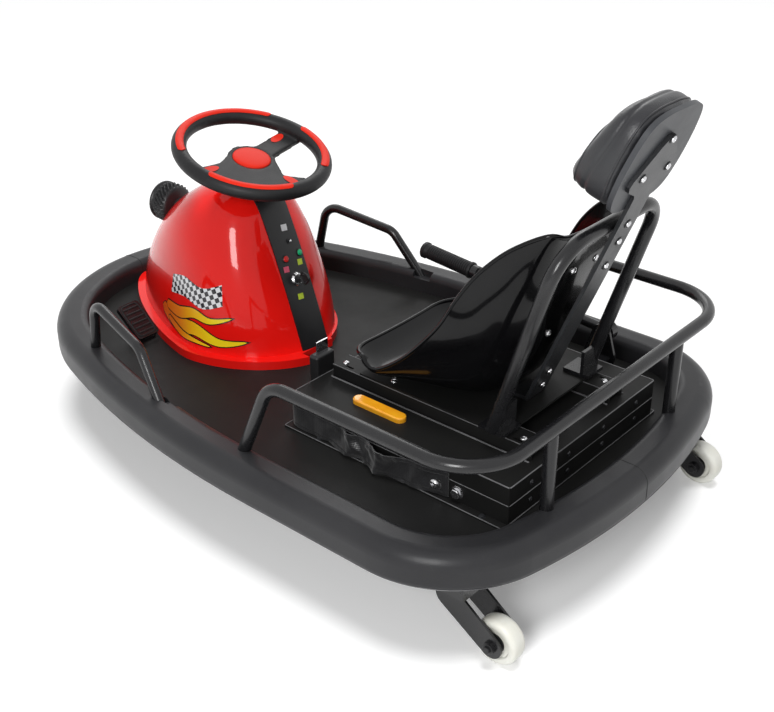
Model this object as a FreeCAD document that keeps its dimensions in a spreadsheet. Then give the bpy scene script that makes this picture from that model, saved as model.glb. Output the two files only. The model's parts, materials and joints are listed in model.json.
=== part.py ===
import FreeCAD, Part
import math
import os

import Sketcher
from FreeCAD import Placement, Rotation, Vector

# Electric drift kart: moulded bumper ring on three wheels, a driven and steered
# wheel under the front shroud and two swivelling casters at the tail.
# Millimetres.  X forward, Y to the kart's left, Z up.  The origin is on the floor,
# under the middle of the bumper ring.

SIZES = [
    ("overall_length", 1250, "bumper ring, nose to tail"),
    ("overall_width", 808, "bumper ring, side to side"),
    ("widest_station", -150, "X where the straight sides end and the nose taper starts"),
    ("nose_radius", 335, "plan radius of the nose"),
    ("corner_radius", 190, "plan radius of the two tail corners"),
    ("tail_radius", 1050, "plan radius of the bowed tail"),
    ("rim_bottom", 135, "underside of the bumper ring"),
    ("rim_top", 195, "top of the bumper ring"),
    ("rim_width", 62, "bumper ring, outer face to inner wall"),
    ("rim_outer_round", 26, "upper outer shoulder"),
    ("rim_lower_round", 10, "lower outer edge"),
    ("rim_inner_round", 15, "upper inner shoulder"),
    ("deck_top", 153, "top of the deck plate"),
    ("deck_thickness", 4, "deck plate"),
    ("seat_gap", 0.3, "gap where one curved piece lies on another"),
    ("wheel_hole_radius", 118, "hole in the deck for the driven wheel"),
    ("frame_tube", 30, "square tube of the frame"),
    ("frame_spread", 330, "centre to centre of the two long frame tubes"),
    ("frame_nose", 470, "X of the frame's front end"),
    ("frame_tail", -475, "X of the long tubes' rear ends"),
    ("cross_member_length", 584, "rear cross member, inside the bumper ring"),
    ("caster_pivot_back", 492, "caster swivel axis behind the origin"),
    ("caster_spread", 600, "centre to centre of the caster swivel axes"),
    ("caster_trail", 80, "wheel centre behind the swivel axis"),
    ("caster_wheel_radius", 37.5, "caster wheel"),
    ("caster_wheel_width", 30, "caster wheel"),
    ("caster_plate_side", 92, "caster mounting plate"),
    ("caster_plate_thickness", 5, "caster mounting plate"),
    ("caster_crown_radius", 29, "turning crown of the caster"),
    ("caster_crown_height", 12, "turning crown of the caster"),
    ("caster_crown_gap", 2, "crown below its mounting plate"),
    ("kingpin_radius", 6, "caster kingpin"),
    ("caster_axle_radius", 5, "caster axle bolt"),
    ("fork_plate", 4, "caster fork sheet"),
    ("fork_top_radius", 22, "rounded upper end of the caster fork sheet"),
    ("fork_end_radius", 19, "rounded axle end of the caster fork sheet"),
    ("fork_side_gap", 5.5, "caster wheel to fork sheet"),
    ("running_gap", 0.05, "radial clearance of a turning fit"),
    ("drive_pivot", 270, "X of the driven wheel's steering axis"),
    ("tyre_radius", 100, "driven wheel"),
    ("tyre_width", 60, "driven wheel"),
    ("tyre_shoulder", 14, "driven wheel's rounded edge"),
    ("motor_radius", 62, "hub motor in the driven wheel"),
    ("motor_width", 50, "hub motor in the driven wheel"),
    ("drive_axle_radius", 7, "driven wheel's axle"),
    ("drive_side_gap", 6, "tyre to fork leg"),
    ("drive_leg_thickness", 6, "fork leg"),
    ("drive_leg_width", 40, "fork leg"),
    ("crown_gap", 8, "tyre to fork crown"),
    ("crown_thickness", 8, "fork crown"),
    ("stem_radius", 15, "fork stem"),
    ("stem_height", 70, "fork stem above the crown"),
    ("ball_radius", 12, "ball joint between the stem and the column"),
    ("ball_lift", 6, "ball's centre above the top of the stem"),
    ("bearing_wall", 7, "steering bearing tube"),
    ("bridge_inner_half", 112, "bridge leg inside face from the centre plane"),
    ("bridge_thickness", 4, "bridge sheet"),
    ("bridge_width", 60, "bridge sheet, along X"),
    ("shroud_wall", 4, "moulded shroud"),
    ("shroud_rear", 40, "X of the shroud's flange at the back"),
    ("shroud_front", 560, "X of the shroud's flange at the front"),
    ("shroud_half_width", 170, "shroud flange from the centre plane"),
    ("shroud_height", 292, "shroud above the deck"),
    ("flange_trim", 5, "what is left of the foot flange on the right-hand rear"),
    ("panel_width", 64, "control strip on the shroud's rear face"),
    ("panel_thickness", 3, "control strip"),
    ("wheel_tilt", 15, "steering wheel axis off the vertical, degrees"),
    ("wheel_hub_z", 506.4, "steering wheel hub"),
    ("wheel_ring_radius", 130, "steering wheel, to the middle of the grip"),
    ("wheel_grip_radius", 14, "steering wheel grip"),
    ("wheel_boss_radius", 44, "steering wheel boss"),
    ("wheel_plate_thickness", 11, "plate that joins the boss and the spokes"),
    ("wheel_cap_radius", 35, "steering wheel cap"),
    ("wheel_boss_height", 20, "steering wheel boss"),
    ("column_radius", 10, "steering column"),
    ("guard_tube", 9, "radius of the side guard tube"),
    ("guard_height", 291, "top of the side guards, tube axis"),
    ("rail_tube", 10.5, "radius of the rear rail tube"),
    ("rail_height", 328, "rear rail tube axis"),
    ("rail_half_width", 349, "rear rail tube axis"),
    ("rail_tail", 560, "rear rail's back run behind the origin"),
    ("rail_front", 168, "rear rail's front bend behind the origin"),
    ("rail_foot", 95, "rear rail's front foot behind the origin"),
    ("rail_splay", 5, "rear rail's front foot outside its side run"),
    ("rail_bend", 95, "bend radius of the rear rail's corners"),
    ("post_half_spread", 178, "rear rail's posts from the centre plane"),
    ("box_rear", 512, "seat box rear face behind the origin"),
    ("box_length", 432, "seat box"),
    ("box_width", 412, "seat box"),
    ("box_height", 69, "seat box above the deck"),
    ("box_wall", 3, "seat box sheet"),
    ("box_flange", 14, "seat box foot flange"),
    ("battery_length", 330, "battery block"),
    ("battery_width", 240, "battery block"),
    ("battery_height", 58, "battery block"),
    ("slide_length", 400, "seat slide"),
    ("slide_width", 40, "seat slide"),
    ("slide_height", 23, "seat slide"),
    ("slide_spread", 220, "centre to centre of the seat slides"),
    ("slide_front", 95, "front end of the slides behind the origin"),
    ("slot_count", 11, "slots in the top of a seat slide"),
    ("pan_plate_length", 290, "plate that joins the slides under the seat"),
    ("pan_plate_back", 300, "middle of that plate behind the origin"),
    ("pan_plate_thickness", 4, "plate that joins the slides under the seat"),
    ("seat_wall", 5, "moulded seat shell"),
    ("seat_scale", 1, "seat shell's width against its normal width"),
    ("hoop_tube", 11, "radius of the seat back hoop"),
    ("hoop_half_width", 135, "seat back hoop tube axis"),
    ("hoop_foot", 425, "hoop foot behind the origin"),
    ("hoop_top", 576, "hoop top run, tube axis"),
    ("hoop_lean", 17, "hoop off the vertical, degrees"),
    ("hoop_bend", 60, "bend radius of the hoop"),
    ("strap_foot", 414, "foot of the headrest strap behind the origin"),
    ("strap_lean", 21.8, "headrest strap off the vertical, degrees"),
    ("strap_width", 50, "headrest strap"),
    ("strap_thickness", 6, "headrest strap"),
    ("board_level", 680, "height of the middle of the headrest board"),
    ("board_thickness", 8, "headrest back board"),
    ("board_half_width", 83, "headrest back board"),
    ("board_height", 160, "headrest back board"),
    ("pad_taper", 0.3, "share of its depth that the pad loses from middle to top"),
    ("pad_thickness", 66, "headrest pad"),
    ("lever_pivot_back", 385, "drift lever pivot behind the origin"),
    ("lever_side", 258, "drift lever from the centre plane, on the right"),
    ("lever_pivot_height", 252, "drift lever pivot"),
    ("lever_length", 412, "pivot to the end of the grip"),
    ("lever_rise", 5, "lever at rest off the horizontal, degrees"),
    ("lever_tube", 9, "radius of the lever tube"),
    ("grip_radius", 16, "lever grip"),
    ("grip_length", 118, "lever grip"),
    ("lever_pin", 6, "radius of the lever's pivot pin"),
    ("lamp_radius", 38, "headlamp housing"),
    ("lamp_length", 38, "headlamp housing"),
    ("lamp_front", 472, "headlamp's front face"),
    ("lamp_height", 352, "headlamp axis"),
    ("pedal_length", 76, "pedal pad, along its slope"),
    ("pedal_width", 48, "pedal pad"),
    ("pedal_thickness", 8, "pedal pad"),
    ("pedal_tilt", 38, "pedal pad off the horizontal, degrees"),
    ("pedal_x", 344, "pedal's lower edge"),
    ("pedal_side", 170, "pedal from the centre plane"),
    ("reflector_length", 106, "side reflector"),
    ("reflector_width", 22, "side reflector"),
    ("reflector_height", 9, "side reflector"),
    ("reflector_back", 228, "side reflector's middle behind the origin"),
    ("reflector_side", 166, "side reflector from the centre plane"),
    ("belt_width", 44, "belt webbing"),
    ("belt_thickness", 3, "belt webbing"),
    ("buckle_height", 58, "belt buckle"),
]

document = FreeCAD.newDocument("DriftKart")
sheet = document.addObject("Spreadsheet::Sheet", "Sizes")
for row, (alias, value, note) in enumerate(SIZES, start=1):
    sheet.set(f"A{row}", note)
    sheet.set(f"B{row}", str(value))
    sheet.setAlias(f"B{row}", alias)
document.recompute()

nodes = []


def size(alias):
    return float(sheet.get(alias))


def keep(piece, label):
    """Names a sub-part and puts it on the list of pieces to write."""
    piece.Label = label
    nodes.append(piece)
    return piece


def bind(piece, **expressions):
    """Ties properties of an object to the sheet; double underscores stand for dots."""
    for name, expression in expressions.items():
        piece.setExpression(name.replace("__", "."), str(expression))


def place(piece, x="0", y="0", z="0"):
    bind(piece, Placement__Base__x=x, Placement__Base__y=y, Placement__Base__z=z)


def feature(label, shape):
    """A sub-part whose shape is made with Part's functions."""
    piece = document.addObject("Part::Feature", label)
    placement = shape.Placement
    piece.Shape = shape
    piece.Placement = placement
    return keep(piece, label)


# ---------------------------------------------------------------- PartDesign helpers

def origin_plane(body, role):
    return next(item for item in body.Origin.OriginFeatures if item.Role == role)


def new_sketch(body, name, role):
    sketch = body.newObject("Sketcher::SketchObject", name)
    sketch.AttachmentSupport = [(origin_plane(body, role), "")]
    sketch.MapMode = "FlatFace"
    return sketch


def rectangle(sketch, length, width):
    """A rectangle centred on the sketch's origin, with both sides tied to the sheet."""
    corners = [Vector(-20, -10), Vector(20, -10), Vector(20, 10), Vector(-20, 10)]
    first = sketch.GeometryCount
    for index in range(4):
        start, end = corners[index], corners[(index + 1) % 4]
        sketch.addGeometry(Part.LineSegment(start, end), False)
    for index in range(4):
        following = first + (index + 1) % 4
        sketch.addConstraint(Sketcher.Constraint("Coincident", first + index, 2, following, 1))
    for index in (0, 2):
        sketch.addConstraint(Sketcher.Constraint("Horizontal", first + index))
        sketch.addConstraint(Sketcher.Constraint("Vertical", first + index + 1))
    sketch.addConstraint(Sketcher.Constraint("Symmetric", first, 1, first + 2, 1, -1, 1))
    wide = sketch.addConstraint(Sketcher.Constraint("Distance", first, 40))
    deep = sketch.addConstraint(Sketcher.Constraint("Distance", first + 1, 20))
    sketch.setExpression(f"Constraints[{wide}]", length)
    sketch.setExpression(f"Constraints[{deep}]", width)


def circle(sketch, x, y, radius):
    """A circle whose centre and radius are tied to the sheet."""
    index = sketch.addGeometry(Part.Circle(Vector(1, 1, 0), Vector(0, 0, 1), 3), False)
    for kind, expression in (("DistanceX", x), ("DistanceY", y)):
        datum = sketch.addConstraint(Sketcher.Constraint(kind, -1, 1, index, 3, 1))
        sketch.setExpression(f"Constraints[{datum}]", expression)
    datum = sketch.addConstraint(Sketcher.Constraint("Radius", index, 3))
    sketch.setExpression(f"Constraints[{datum}]", radius)


def pad(body, sketch, name, thickness):
    raised = body.newObject("PartDesign::Pad", name)
    raised.Profile = sketch
    raised.setExpression("Length", thickness)
    return raised


def plate(label, length, width, thickness, x, y, z):
    """A flat plate or block, centred on x and y, standing on z."""
    body = document.addObject("PartDesign::Body", label)
    outline = new_sketch(body, label + "_outline", "XY_Plane")
    rectangle(outline, length, width)
    pad(body, outline, label + "_pad", thickness)
    place(body, x, y, z)
    return keep(body, label)


def cut_holes(body, name, holes):
    """Bores round holes right through a plate: (x, y, radius) from the plate's middle."""
    document.recompute()
    before = body.Shape.Volume
    sketch = new_sketch(body, name + "_sketch", "XY_Plane")
    for x, y, radius in holes:
        circle(sketch, x, y, radius)
    pocket = body.newObject("PartDesign::Pocket", name)
    pocket.Profile = sketch
    pocket.Type = "ThroughAll"
    pocket.Midplane = True
    document.recompute()
    if body.Shape.Volume >= before:
        raise ValueError(f"{name} cuts nothing")


# ---------------------------------------------------------------- shape helpers

def along(direction, length):
    return Vector(direction).normalize() * length


def mixed_tube(points, radius, bends):
    """Round bar along straight runs, each corner with its own bend radius."""
    edges = []
    start = points[0]
    for before, corner, after, bend in zip(points, points[1:], points[2:], bends):
        back, onward = before - corner, after - corner
        half = back.getAngle(onward) / 2
        cutback = bend / math.tan(half)
        entry, leave = corner + along(back, cutback), corner + along(onward, cutback)
        middle_way = along(along(back, 1) + along(onward, 1), bend / math.sin(half) - bend)
        edges.append(Part.makeLine(start, entry))
        edges.append(Part.Arc(entry, corner + middle_way, leave).toShape())
        start = leave
    edges.append(Part.makeLine(start, points[-1]))
    section = Part.Wire(Part.makeCircle(radius, points[0], points[1] - points[0]))
    return Part.Wire(edges).makePipeShell([section], True, False)


def tube(points, radius, bend):
    """Round bar along straight runs joined by tangent arcs of one bend radius."""
    return mixed_tube(points, radius, [bend] * (len(points) - 2))


def cylinder(radius, start, direction, length):
    return Part.makeCylinder(radius, length, start, direction)


def block(x_range, y_range, z_range):
    low = Vector(min(x_range), min(y_range), min(z_range))
    spans = [max(r) - min(r) for r in (x_range, y_range, z_range)]
    return Part.makeBox(spans[0], spans[1], spans[2], low)


def link_face(first, first_radius, second, second_radius):
    """Face in the XZ plane round two circles and their outer tangents."""
    span = second - first
    slope = math.atan2(span.z, span.x)
    lean = math.acos((first_radius - second_radius) / span.Length)

    def rim(centre, radius, angle):
        return centre + Vector(math.cos(angle), 0, math.sin(angle)) * radius

    upper, lower = slope + lean, slope - lean
    edges = [
        Part.Arc(rim(first, first_radius, upper), rim(first, first_radius, slope + math.pi),
                 rim(first, first_radius, lower)).toShape(),
        Part.makeLine(rim(first, first_radius, lower), rim(second, second_radius, lower)),
        Part.Arc(rim(second, second_radius, lower), rim(second, second_radius, slope),
                 rim(second, second_radius, upper)).toShape(),
        Part.makeLine(rim(second, second_radius, upper), rim(first, first_radius, upper)),
    ]
    return Part.Face(Part.Wire(edges))


def closed_curve(points):
    curve = Part.BSplineCurve()
    curve.interpolate(points, PeriodicFlag=True)
    return Part.Wire(curve.toShape())


# ---------------------------------------------------------------- bumper ring and deck

def outline_arcs():
    """Centres and radii of the half outline, from the nose back to the tail."""
    half_length, half_width = size("overall_length") / 2, size("overall_width") / 2
    nose, corner, tail = size("nose_radius"), size("corner_radius"), size("tail_radius")
    station = size("widest_station")
    nose_centre = Vector(half_length - nose, 0, 0)
    reach = nose_centre.x - station
    side = (reach ** 2 + half_width ** 2 - nose ** 2) / (2 * (half_width - nose))
    side_centre = Vector(station, half_width - side, 0)
    tail_centre = Vector(tail - half_length, 0, 0)
    across = half_width - corner
    corner_x = tail_centre.x - math.sqrt((tail - corner) ** 2 - across ** 2)
    corner_centre = Vector(corner_x, across, 0)
    return (nose_centre, nose), (side_centre, side), (corner_centre, corner), (tail_centre, tail)


def outline_joints(inset):
    """Points where the half outline's arcs meet, moved in by inset."""
    (nose_c, nose), (side_c, _side), (corner_c, corner), (tail_c, _tail) = outline_arcs()
    edge = size("overall_width") / 2 - inset
    shoulder = nose_c + along(nose_c - side_c, nose - inset)
    return (shoulder, Vector(side_c.x, edge, 0), Vector(corner_c.x, edge, 0),
            corner_c + along(corner_c - tail_c, corner - inset))


def mirrored(point):
    return Vector(point.x, -point.y, point.z)


def outline_face(inset, level):
    """Face inside the ring's outline, moved in by inset, at one height."""
    arcs = outline_arcs()
    half_length = size("overall_length") / 2 - inset
    shoulder, station, bend, heel = outline_joints(inset)

    def arc(centre, start, end):
        middle = centre + along((start - centre) + (end - centre), (start - centre).Length)
        return Part.Arc(start, middle, end).toShape()

    side_centre, corner_centre = arcs[1][0], arcs[2][0]
    edges = [
        Part.Arc(mirrored(shoulder), Vector(half_length, 0, 0), shoulder).toShape(),
        arc(side_centre, shoulder, station),
        Part.makeLine(station, bend),
        arc(corner_centre, bend, heel),
        Part.Arc(heel, Vector(-half_length, 0, 0), mirrored(heel)).toShape(),
        arc(mirrored(corner_centre), mirrored(heel), mirrored(bend)),
        Part.makeLine(mirrored(bend), mirrored(station)),
        arc(mirrored(side_centre), mirrored(station), mirrored(shoulder)),
    ]
    face = Part.Face(Part.Wire(edges))
    face.translate(Vector(0, 0, level))
    return face


def outline_prism(inset, bottom, top):
    return outline_face(inset, bottom).extrude(Vector(0, 0, top - bottom))


def half_width_at(x, inset=0.0):
    """Distance from the centre plane to the outline at one station."""
    (nose_c, nose), (side_c, side), (corner_c, corner), _tail = outline_arcs()
    shoulder, station, bend, _heel = outline_joints(inset)
    if x > shoulder.x:
        return math.sqrt((nose - inset) ** 2 - (x - nose_c.x) ** 2)
    if x > station.x:
        return side_c.y + math.sqrt((side - inset) ** 2 - (x - side_c.x) ** 2)
    if x > bend.x:
        return size("overall_width") / 2 - inset
    return corner_c.y + math.sqrt((corner - inset) ** 2 - (x - corner_c.x) ** 2)


def guard_feet():
    """Front and rear foot of the left side guard, on the ring."""
    front_x, rear_x = 344, 80
    inner = size("rim_width") - 21
    return (Vector(front_x, half_width_at(front_x, inner), size("deck_top")),
            Vector(rear_x, half_width_at(rear_x, inner), size("deck_top")))


def rail_feet():
    """Front foot and rear post of the left half of the rear rail, on the ring."""
    return (Vector(-size("rail_foot"), size("rail_half_width") + size("rail_splay"), size("deck_top") + 2),
            Vector(-size("rail_tail") + 2, size("post_half_spread"), size("deck_top")))


def make_bumper_ring():
    bottom, top, width = size("rim_bottom"), size("rim_top"), size("rim_width")
    outer = outline_prism(0, bottom, top)

    def level_edges(shape, level):
        return [e for e in shape.Edges
                if abs(e.BoundBox.ZMin - level) < 0.01 and abs(e.BoundBox.ZMax - level) < 0.01]

    outer = outer.makeFillet(size("rim_outer_round"), level_edges(outer, top))
    outer = outer.makeFillet(size("rim_lower_round"), level_edges(outer, bottom))
    ring = outer.cut(outline_prism(width, bottom - 1, top + 1))
    crown = [f for f in ring.Faces if abs(f.CenterOfMass.z - top) < 0.01][0]
    inner_edges = []
    for wire in crown.Wires:
        if not wire.isSame(crown.OuterWire):
            inner_edges += wire.Edges
    ring = ring.makeFillet(size("rim_inner_round"), inner_edges)
    bores = [guard_tube_solid(flip, size("seat_gap")) for flip in (False, True)]
    bores.append(rail_solid(size("seat_gap")))
    notch_depth, notch_length = 14, 40
    rear_foot = guard_feet()[1]
    wall = half_width_at(rear_foot.x, width)
    for side in (1, -1):
        bores.append(block((rear_foot.x - 14, rear_foot.x - 14 + notch_length),
                           (side * (wall - 3), side * (wall + 17)), (top - notch_depth, top + 1)))
    return feature("bumper_ring", ring.cut(bores))


def make_deck():
    top, thickness = size("deck_top"), size("deck_thickness")
    inset = size("rim_width") + size("seat_gap")
    deck = outline_prism(inset, top - thickness, top)
    hole = cylinder(size("wheel_hole_radius"), Vector(size("drive_pivot"), 0, 0), Vector(0, 0, 1), top + 1)
    return feature("deck_plate", deck.cut(hole))


def make_frame():
    """Square tubes under the deck: two long ones, and three cross members."""
    tube_z = "Sizes.deck_top - Sizes.deck_thickness - Sizes.frame_tube"
    for name, side in (("left", 1), ("right", -1)):
        plate(f"frame_rail_{name}", "Sizes.frame_nose - Sizes.frame_tail", "Sizes.frame_tube",
              "Sizes.frame_tube", "(Sizes.frame_nose + Sizes.frame_tail) / 2",
              f"{side} * Sizes.frame_spread / 2", tube_z)
    inner_span = "Sizes.frame_spread - Sizes.frame_tube"
    plate("front_cross_member", "Sizes.frame_tube", inner_span, "Sizes.frame_tube",
          "Sizes.frame_nose - Sizes.frame_tube / 2", "0", tube_z)
    plate("middle_cross_member", "Sizes.frame_tube", inner_span, "Sizes.frame_tube",
          "Sizes.drive_pivot - 2 * Sizes.wheel_hole_radius", "0", tube_z)
    plate("rear_cross_member", "Sizes.frame_tube", "Sizes.cross_member_length", "Sizes.frame_tube",
          "Sizes.frame_tail - Sizes.frame_tube / 2", "0", tube_z)


# ---------------------------------------------------------------- casters

def caster_levels():
    """Heights of the caster: axle, crown top and mounting plate underside."""
    plate_bottom = (size("deck_top") - size("deck_thickness") - size("frame_tube")
                    - size("caster_plate_thickness"))
    return size("caster_wheel_radius"), plate_bottom - size("caster_crown_gap"), plate_bottom


def make_casters():
    axle_z, crown_top, plate_bottom = caster_levels()
    half_spread = size("caster_spread") / 2
    width, gap, sheet_thickness = size("caster_wheel_width"), size("fork_side_gap"), size("fork_plate")
    pin = size("kingpin_radius")
    for name, side in (("left", 1), ("right", -1)):
        pivot = Vector(-size("caster_pivot_back"), side * half_spread, 0)
        make_caster_plate(name, side, pivot, plate_bottom)
        crown_z = crown_top - size("caster_crown_height")
        crown = cylinder(size("caster_crown_radius"), pivot + Vector(0, 0, crown_z), Vector(0, 0, 1),
                         size("caster_crown_height"))
        kingpin = cylinder(pin, pivot + Vector(0, 0, crown_z), Vector(0, 0, 1),
                           plate_bottom + size("caster_plate_thickness") - crown_z)
        axle = pivot + Vector(-size("caster_trail"), 0, axle_z)
        pieces = [kingpin]
        for cheek in (1, -1):
            inside = cheek * (width / 2 + gap)
            leg_top = pivot + Vector(-2, 0, crown_top - size("fork_top_radius"))
            face = link_face(leg_top, size("fork_top_radius"), axle, size("fork_end_radius"))
            face.translate(Vector(0, inside, 0))
            pieces.append(face.extrude(Vector(0, cheek * sheet_thickness, 0)))
            nut = cylinder(10, axle + Vector(0, inside + cheek * sheet_thickness, 0),
                           Vector(0, cheek, 0), 5)
            pieces.append(nut)
        axle_length = width + 2 * gap + 2 * sheet_thickness
        pieces.append(cylinder(size("caster_axle_radius"), axle - Vector(0, axle_length / 2, 0),
                               Vector(0, 1, 0), axle_length))
        fork = crown.fuse(pieces).removeSplitter()
        feature(f"caster_fork_{name}", fork)
        make_caster_wheel(name, axle)


def make_caster_plate(name, side, pivot, bottom):
    """Square plate under the rear cross member, with a stay up to the bumper ring."""
    half, thickness = size("caster_plate_side") / 2, size("caster_plate_thickness")
    square = block((pivot.x - half, pivot.x + half), (pivot.y - half, pivot.y + half),
                   (bottom, bottom + thickness))
    inner, outer = pivot.y + side * 20, pivot.y + side * half
    stay = block((pivot.x - half, pivot.x + half), (inner, outer), (bottom, size("rim_bottom")))
    bore = cylinder(size("kingpin_radius") + size("running_gap"), pivot, Vector(0, 0, 1), 300)
    feature(f"caster_plate_{name}", square.fuse(stay).removeSplitter().cut(bore))


def make_caster_wheel(name, axle):
    width, radius = size("caster_wheel_width"), size("caster_wheel_radius")
    tread = cylinder(radius, axle - Vector(0, width / 2, 0), Vector(0, 1, 0), width)
    tread = tread.makeFillet(6, [e for e in tread.Edges if e.BoundBox.YLength < 0.01])
    hub = cylinder(15, axle - Vector(0, width / 2 + 2, 0), Vector(0, 1, 0), width + 4)
    bore = cylinder(size("caster_axle_radius") + size("running_gap"),
                    axle - Vector(0, width, 0), Vector(0, 1, 0), 2 * width)
    feature(f"caster_wheel_{name}", tread.fuse(hub).removeSplitter().cut(bore))


# ---------------------------------------------------------------- driven wheel and steering

def drive_levels():
    """Underside and top of the fork crown, and the top of the stem."""
    crown_bottom = 2 * size("tyre_radius") + size("crown_gap")
    crown_top = crown_bottom + size("crown_thickness")
    return crown_bottom, crown_top, crown_top + size("stem_height")


def make_drive_wheel():
    radius, width = size("tyre_radius"), size("tyre_width")
    centre = Vector(size("drive_pivot"), 0, radius)
    sideways = Vector(0, 1, 0)
    tyre = cylinder(radius, centre - sideways * (width / 2), sideways, width)
    tyre = tyre.makeFillet(size("tyre_shoulder"), [e for e in tyre.Edges if e.BoundBox.YLength < 0.01])
    tyre = tyre.cut(cylinder(size("motor_radius") + 0.1, centre - sideways * width, sideways, 2 * width))
    feature("drive_tyre", tyre)
    motor_width = size("motor_width")
    motor = cylinder(size("motor_radius"), centre - sideways * (motor_width / 2), sideways, motor_width)
    motor = motor.makeFillet(4, [e for e in motor.Edges if e.BoundBox.YLength < 0.01])
    bore = cylinder(size("drive_axle_radius") + size("running_gap"), centre - sideways * width,
                    sideways, 2 * width)
    feature("hub_motor", motor.cut(bore))


def make_drive_fork():
    crown_bottom, crown_top, stem_top = drive_levels()
    x, axle_z = size("drive_pivot"), size("tyre_radius")
    inside = size("tyre_width") / 2 + size("drive_side_gap")
    outside = inside + size("drive_leg_thickness")
    half = size("drive_leg_width") / 2
    crown = block((x - half, x + half), (-outside, outside), (crown_bottom, crown_top))
    pieces = [cylinder(size("stem_radius"), Vector(x, 0, crown_top), Vector(0, 0, 1), stem_top - crown_top)]
    for side in (1, -1):
        leg = block((x - half, x + half), (side * inside, side * outside), (axle_z, crown_bottom))
        foot = cylinder(half, Vector(x, side * inside, axle_z), Vector(0, side, 0), outside - inside)
        nut = cylinder(12, Vector(x, side * outside, axle_z), Vector(0, side, 0), 6)
        pieces += [leg, foot, nut]
    axle_end = Vector(x, -outside, axle_z)
    pieces.append(cylinder(size("drive_axle_radius"), axle_end, Vector(0, 1, 0), 2 * outside))
    pieces.append(Part.makeSphere(size("ball_radius"), column_joint()))
    feature("drive_fork", crown.fuse(pieces).removeSplitter())


def make_steering_bridge():
    """Bent sheet over the driven wheel, with the bearing tube for the fork's stem."""
    _bottom, crown_top, stem_top = drive_levels()
    x, half = size("drive_pivot"), size("bridge_width") / 2
    inner, wall = size("bridge_inner_half"), size("bridge_thickness")
    roof = crown_top + size("crown_gap")
    deck = size("deck_top")
    outer_half = inner + wall
    sheet_metal = block((x - half, x + half), (-outer_half, outer_half), (deck, roof + wall))
    sheet_metal = sheet_metal.cut(block((x - half - 1, x + half + 1), (-inner, inner), (deck - 1, roof)))
    bore_radius = size("stem_radius") + size("running_gap")
    bearing = cylinder(bore_radius + size("bearing_wall"), Vector(x, 0, roof), Vector(0, 0, 1),
                       stem_top - 6 - roof)
    solid = sheet_metal.fuse(bearing).removeSplitter()
    for side in (1, -1):
        foot = block((x - half, x + half), (side * outer_half, side * (outer_half - wall - 1)),
                     (deck, deck + wall))
        solid = solid.fuse(foot)
    bore = cylinder(bore_radius, Vector(x, 0, deck), Vector(0, 0, 1), stem_top)
    feature("steering_bridge", solid.removeSplitter().cut(bore))


def column_axis():
    tilt = math.radians(size("wheel_tilt"))
    return Vector(-math.sin(tilt), 0, math.cos(tilt))


def column_joint():
    """Centre of the ball joint, where the fork's axis meets the column's."""
    return Vector(size("drive_pivot"), 0, drive_levels()[2] + size("ball_lift"))


def wheel_hub():
    joint, axis = column_joint(), column_axis()
    return joint + axis * ((size("wheel_hub_z") - joint.z) / axis.z)


def column_point(height):
    """Point of the column's axis at one height."""
    axis = column_axis()
    return wheel_hub() + axis * ((height - size("wheel_hub_z")) / axis.z)


def in_wheel_plane(shape):
    """Moves a shape made flat at the origin to the steering wheel."""
    shape.Placement = Placement(wheel_hub(), Rotation(Vector(0, 1, 0), -size("wheel_tilt")))
    return shape


# Solid plate between the wheel's two lower spokes: forward and leftward from the hub.
LOWER_PLATE = ((38, 13), (18, 62), (27, 113), (0, 122), (-60, 104), (-104, 60), (-119, 2), (-99, -42),
               (-70, -12), (-9, -44))
# Centre angle and width of the wheel's free spoke.
FREE_SPOKE = (-79, 42)
# Start and sweep of each trim strip on the rim.
STRIP_ARCS = ((-58, 124), (101, 67), (-149, 62))


def make_steering_wheel():
    ring, grip = size("wheel_ring_radius"), size("wheel_grip_radius")
    boss, height = size("wheel_boss_radius"), size("wheel_boss_height")
    low, high = -height, size("wheel_plate_thickness") - height
    rim = Part.makeTorus(ring, grip)
    middle = Part.makeCylinder(boss, size("wheel_plate_thickness"), Vector(0, 0, low))
    corners = [Vector(x, y, low) for x, y in LOWER_PLATE]
    plate_face = Part.Face(Part.makePolygon(corners + [corners[0]]))
    lower = plate_face.extrude(Vector(0, 0, high - low))
    angle, width = FREE_SPOKE
    spoke = block((0, ring - 2), (-width / 2, width / 2), (low, high))
    spoke.rotate(Vector(), Vector(0, 0, 1), angle)
    wheel = rim.fuse([middle, lower, spoke]).removeSplitter()
    cap_radius = size("wheel_cap_radius")
    cap_seat = Part.makeCylinder(cap_radius + size("seat_gap"), height, Vector(0, 0, high - 3))
    feature("steering_wheel", in_wheel_plane(wheel.cut(cap_seat)))
    cap = Part.makeCylinder(cap_radius, 6, Vector(0, 0, high - 3))
    cap = cap.makeFillet(2.5, [e for e in cap.Edges if e.BoundBox.ZMin > high + 2.9])
    feature("wheel_cap", in_wheel_plane(cap))
    strips = []
    for start, sweep in STRIP_ARCS:
        strip = Part.makeTorus(ring, grip + 1.2, Vector(), Vector(0, 0, 1), 0, 360, sweep)
        strip.rotate(Vector(), Vector(0, 0, 1), start)
        keep_zone = Part.makeCylinder(ring + 10, 30).cut(Part.makeCylinder(ring - 7, 30))
        strips.append(strip.common(keep_zone).cut(Part.makeTorus(ring, grip)))
    feature("wheel_grip_strips", in_wheel_plane(Part.makeCompound(strips)))


def make_column():
    """Tilted column under the wheel, with the socket that turns on the stem's ball."""
    joint, axis = column_joint(), column_axis()
    top = wheel_hub() - axis * size("wheel_boss_height")
    ball = size("ball_radius")
    column = cylinder(size("column_radius"), joint, axis, (top - joint).Length)
    socket = Part.makeSphere(ball + 7, joint)
    hollow = Part.makeSphere(ball + size("seat_gap"), joint)
    mouth = cylinder(ball + 8, joint + axis * 1, axis * -1, ball + 8)
    feature("steering_column", column.fuse(socket).cut([hollow, mouth]).removeSplitter())


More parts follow.
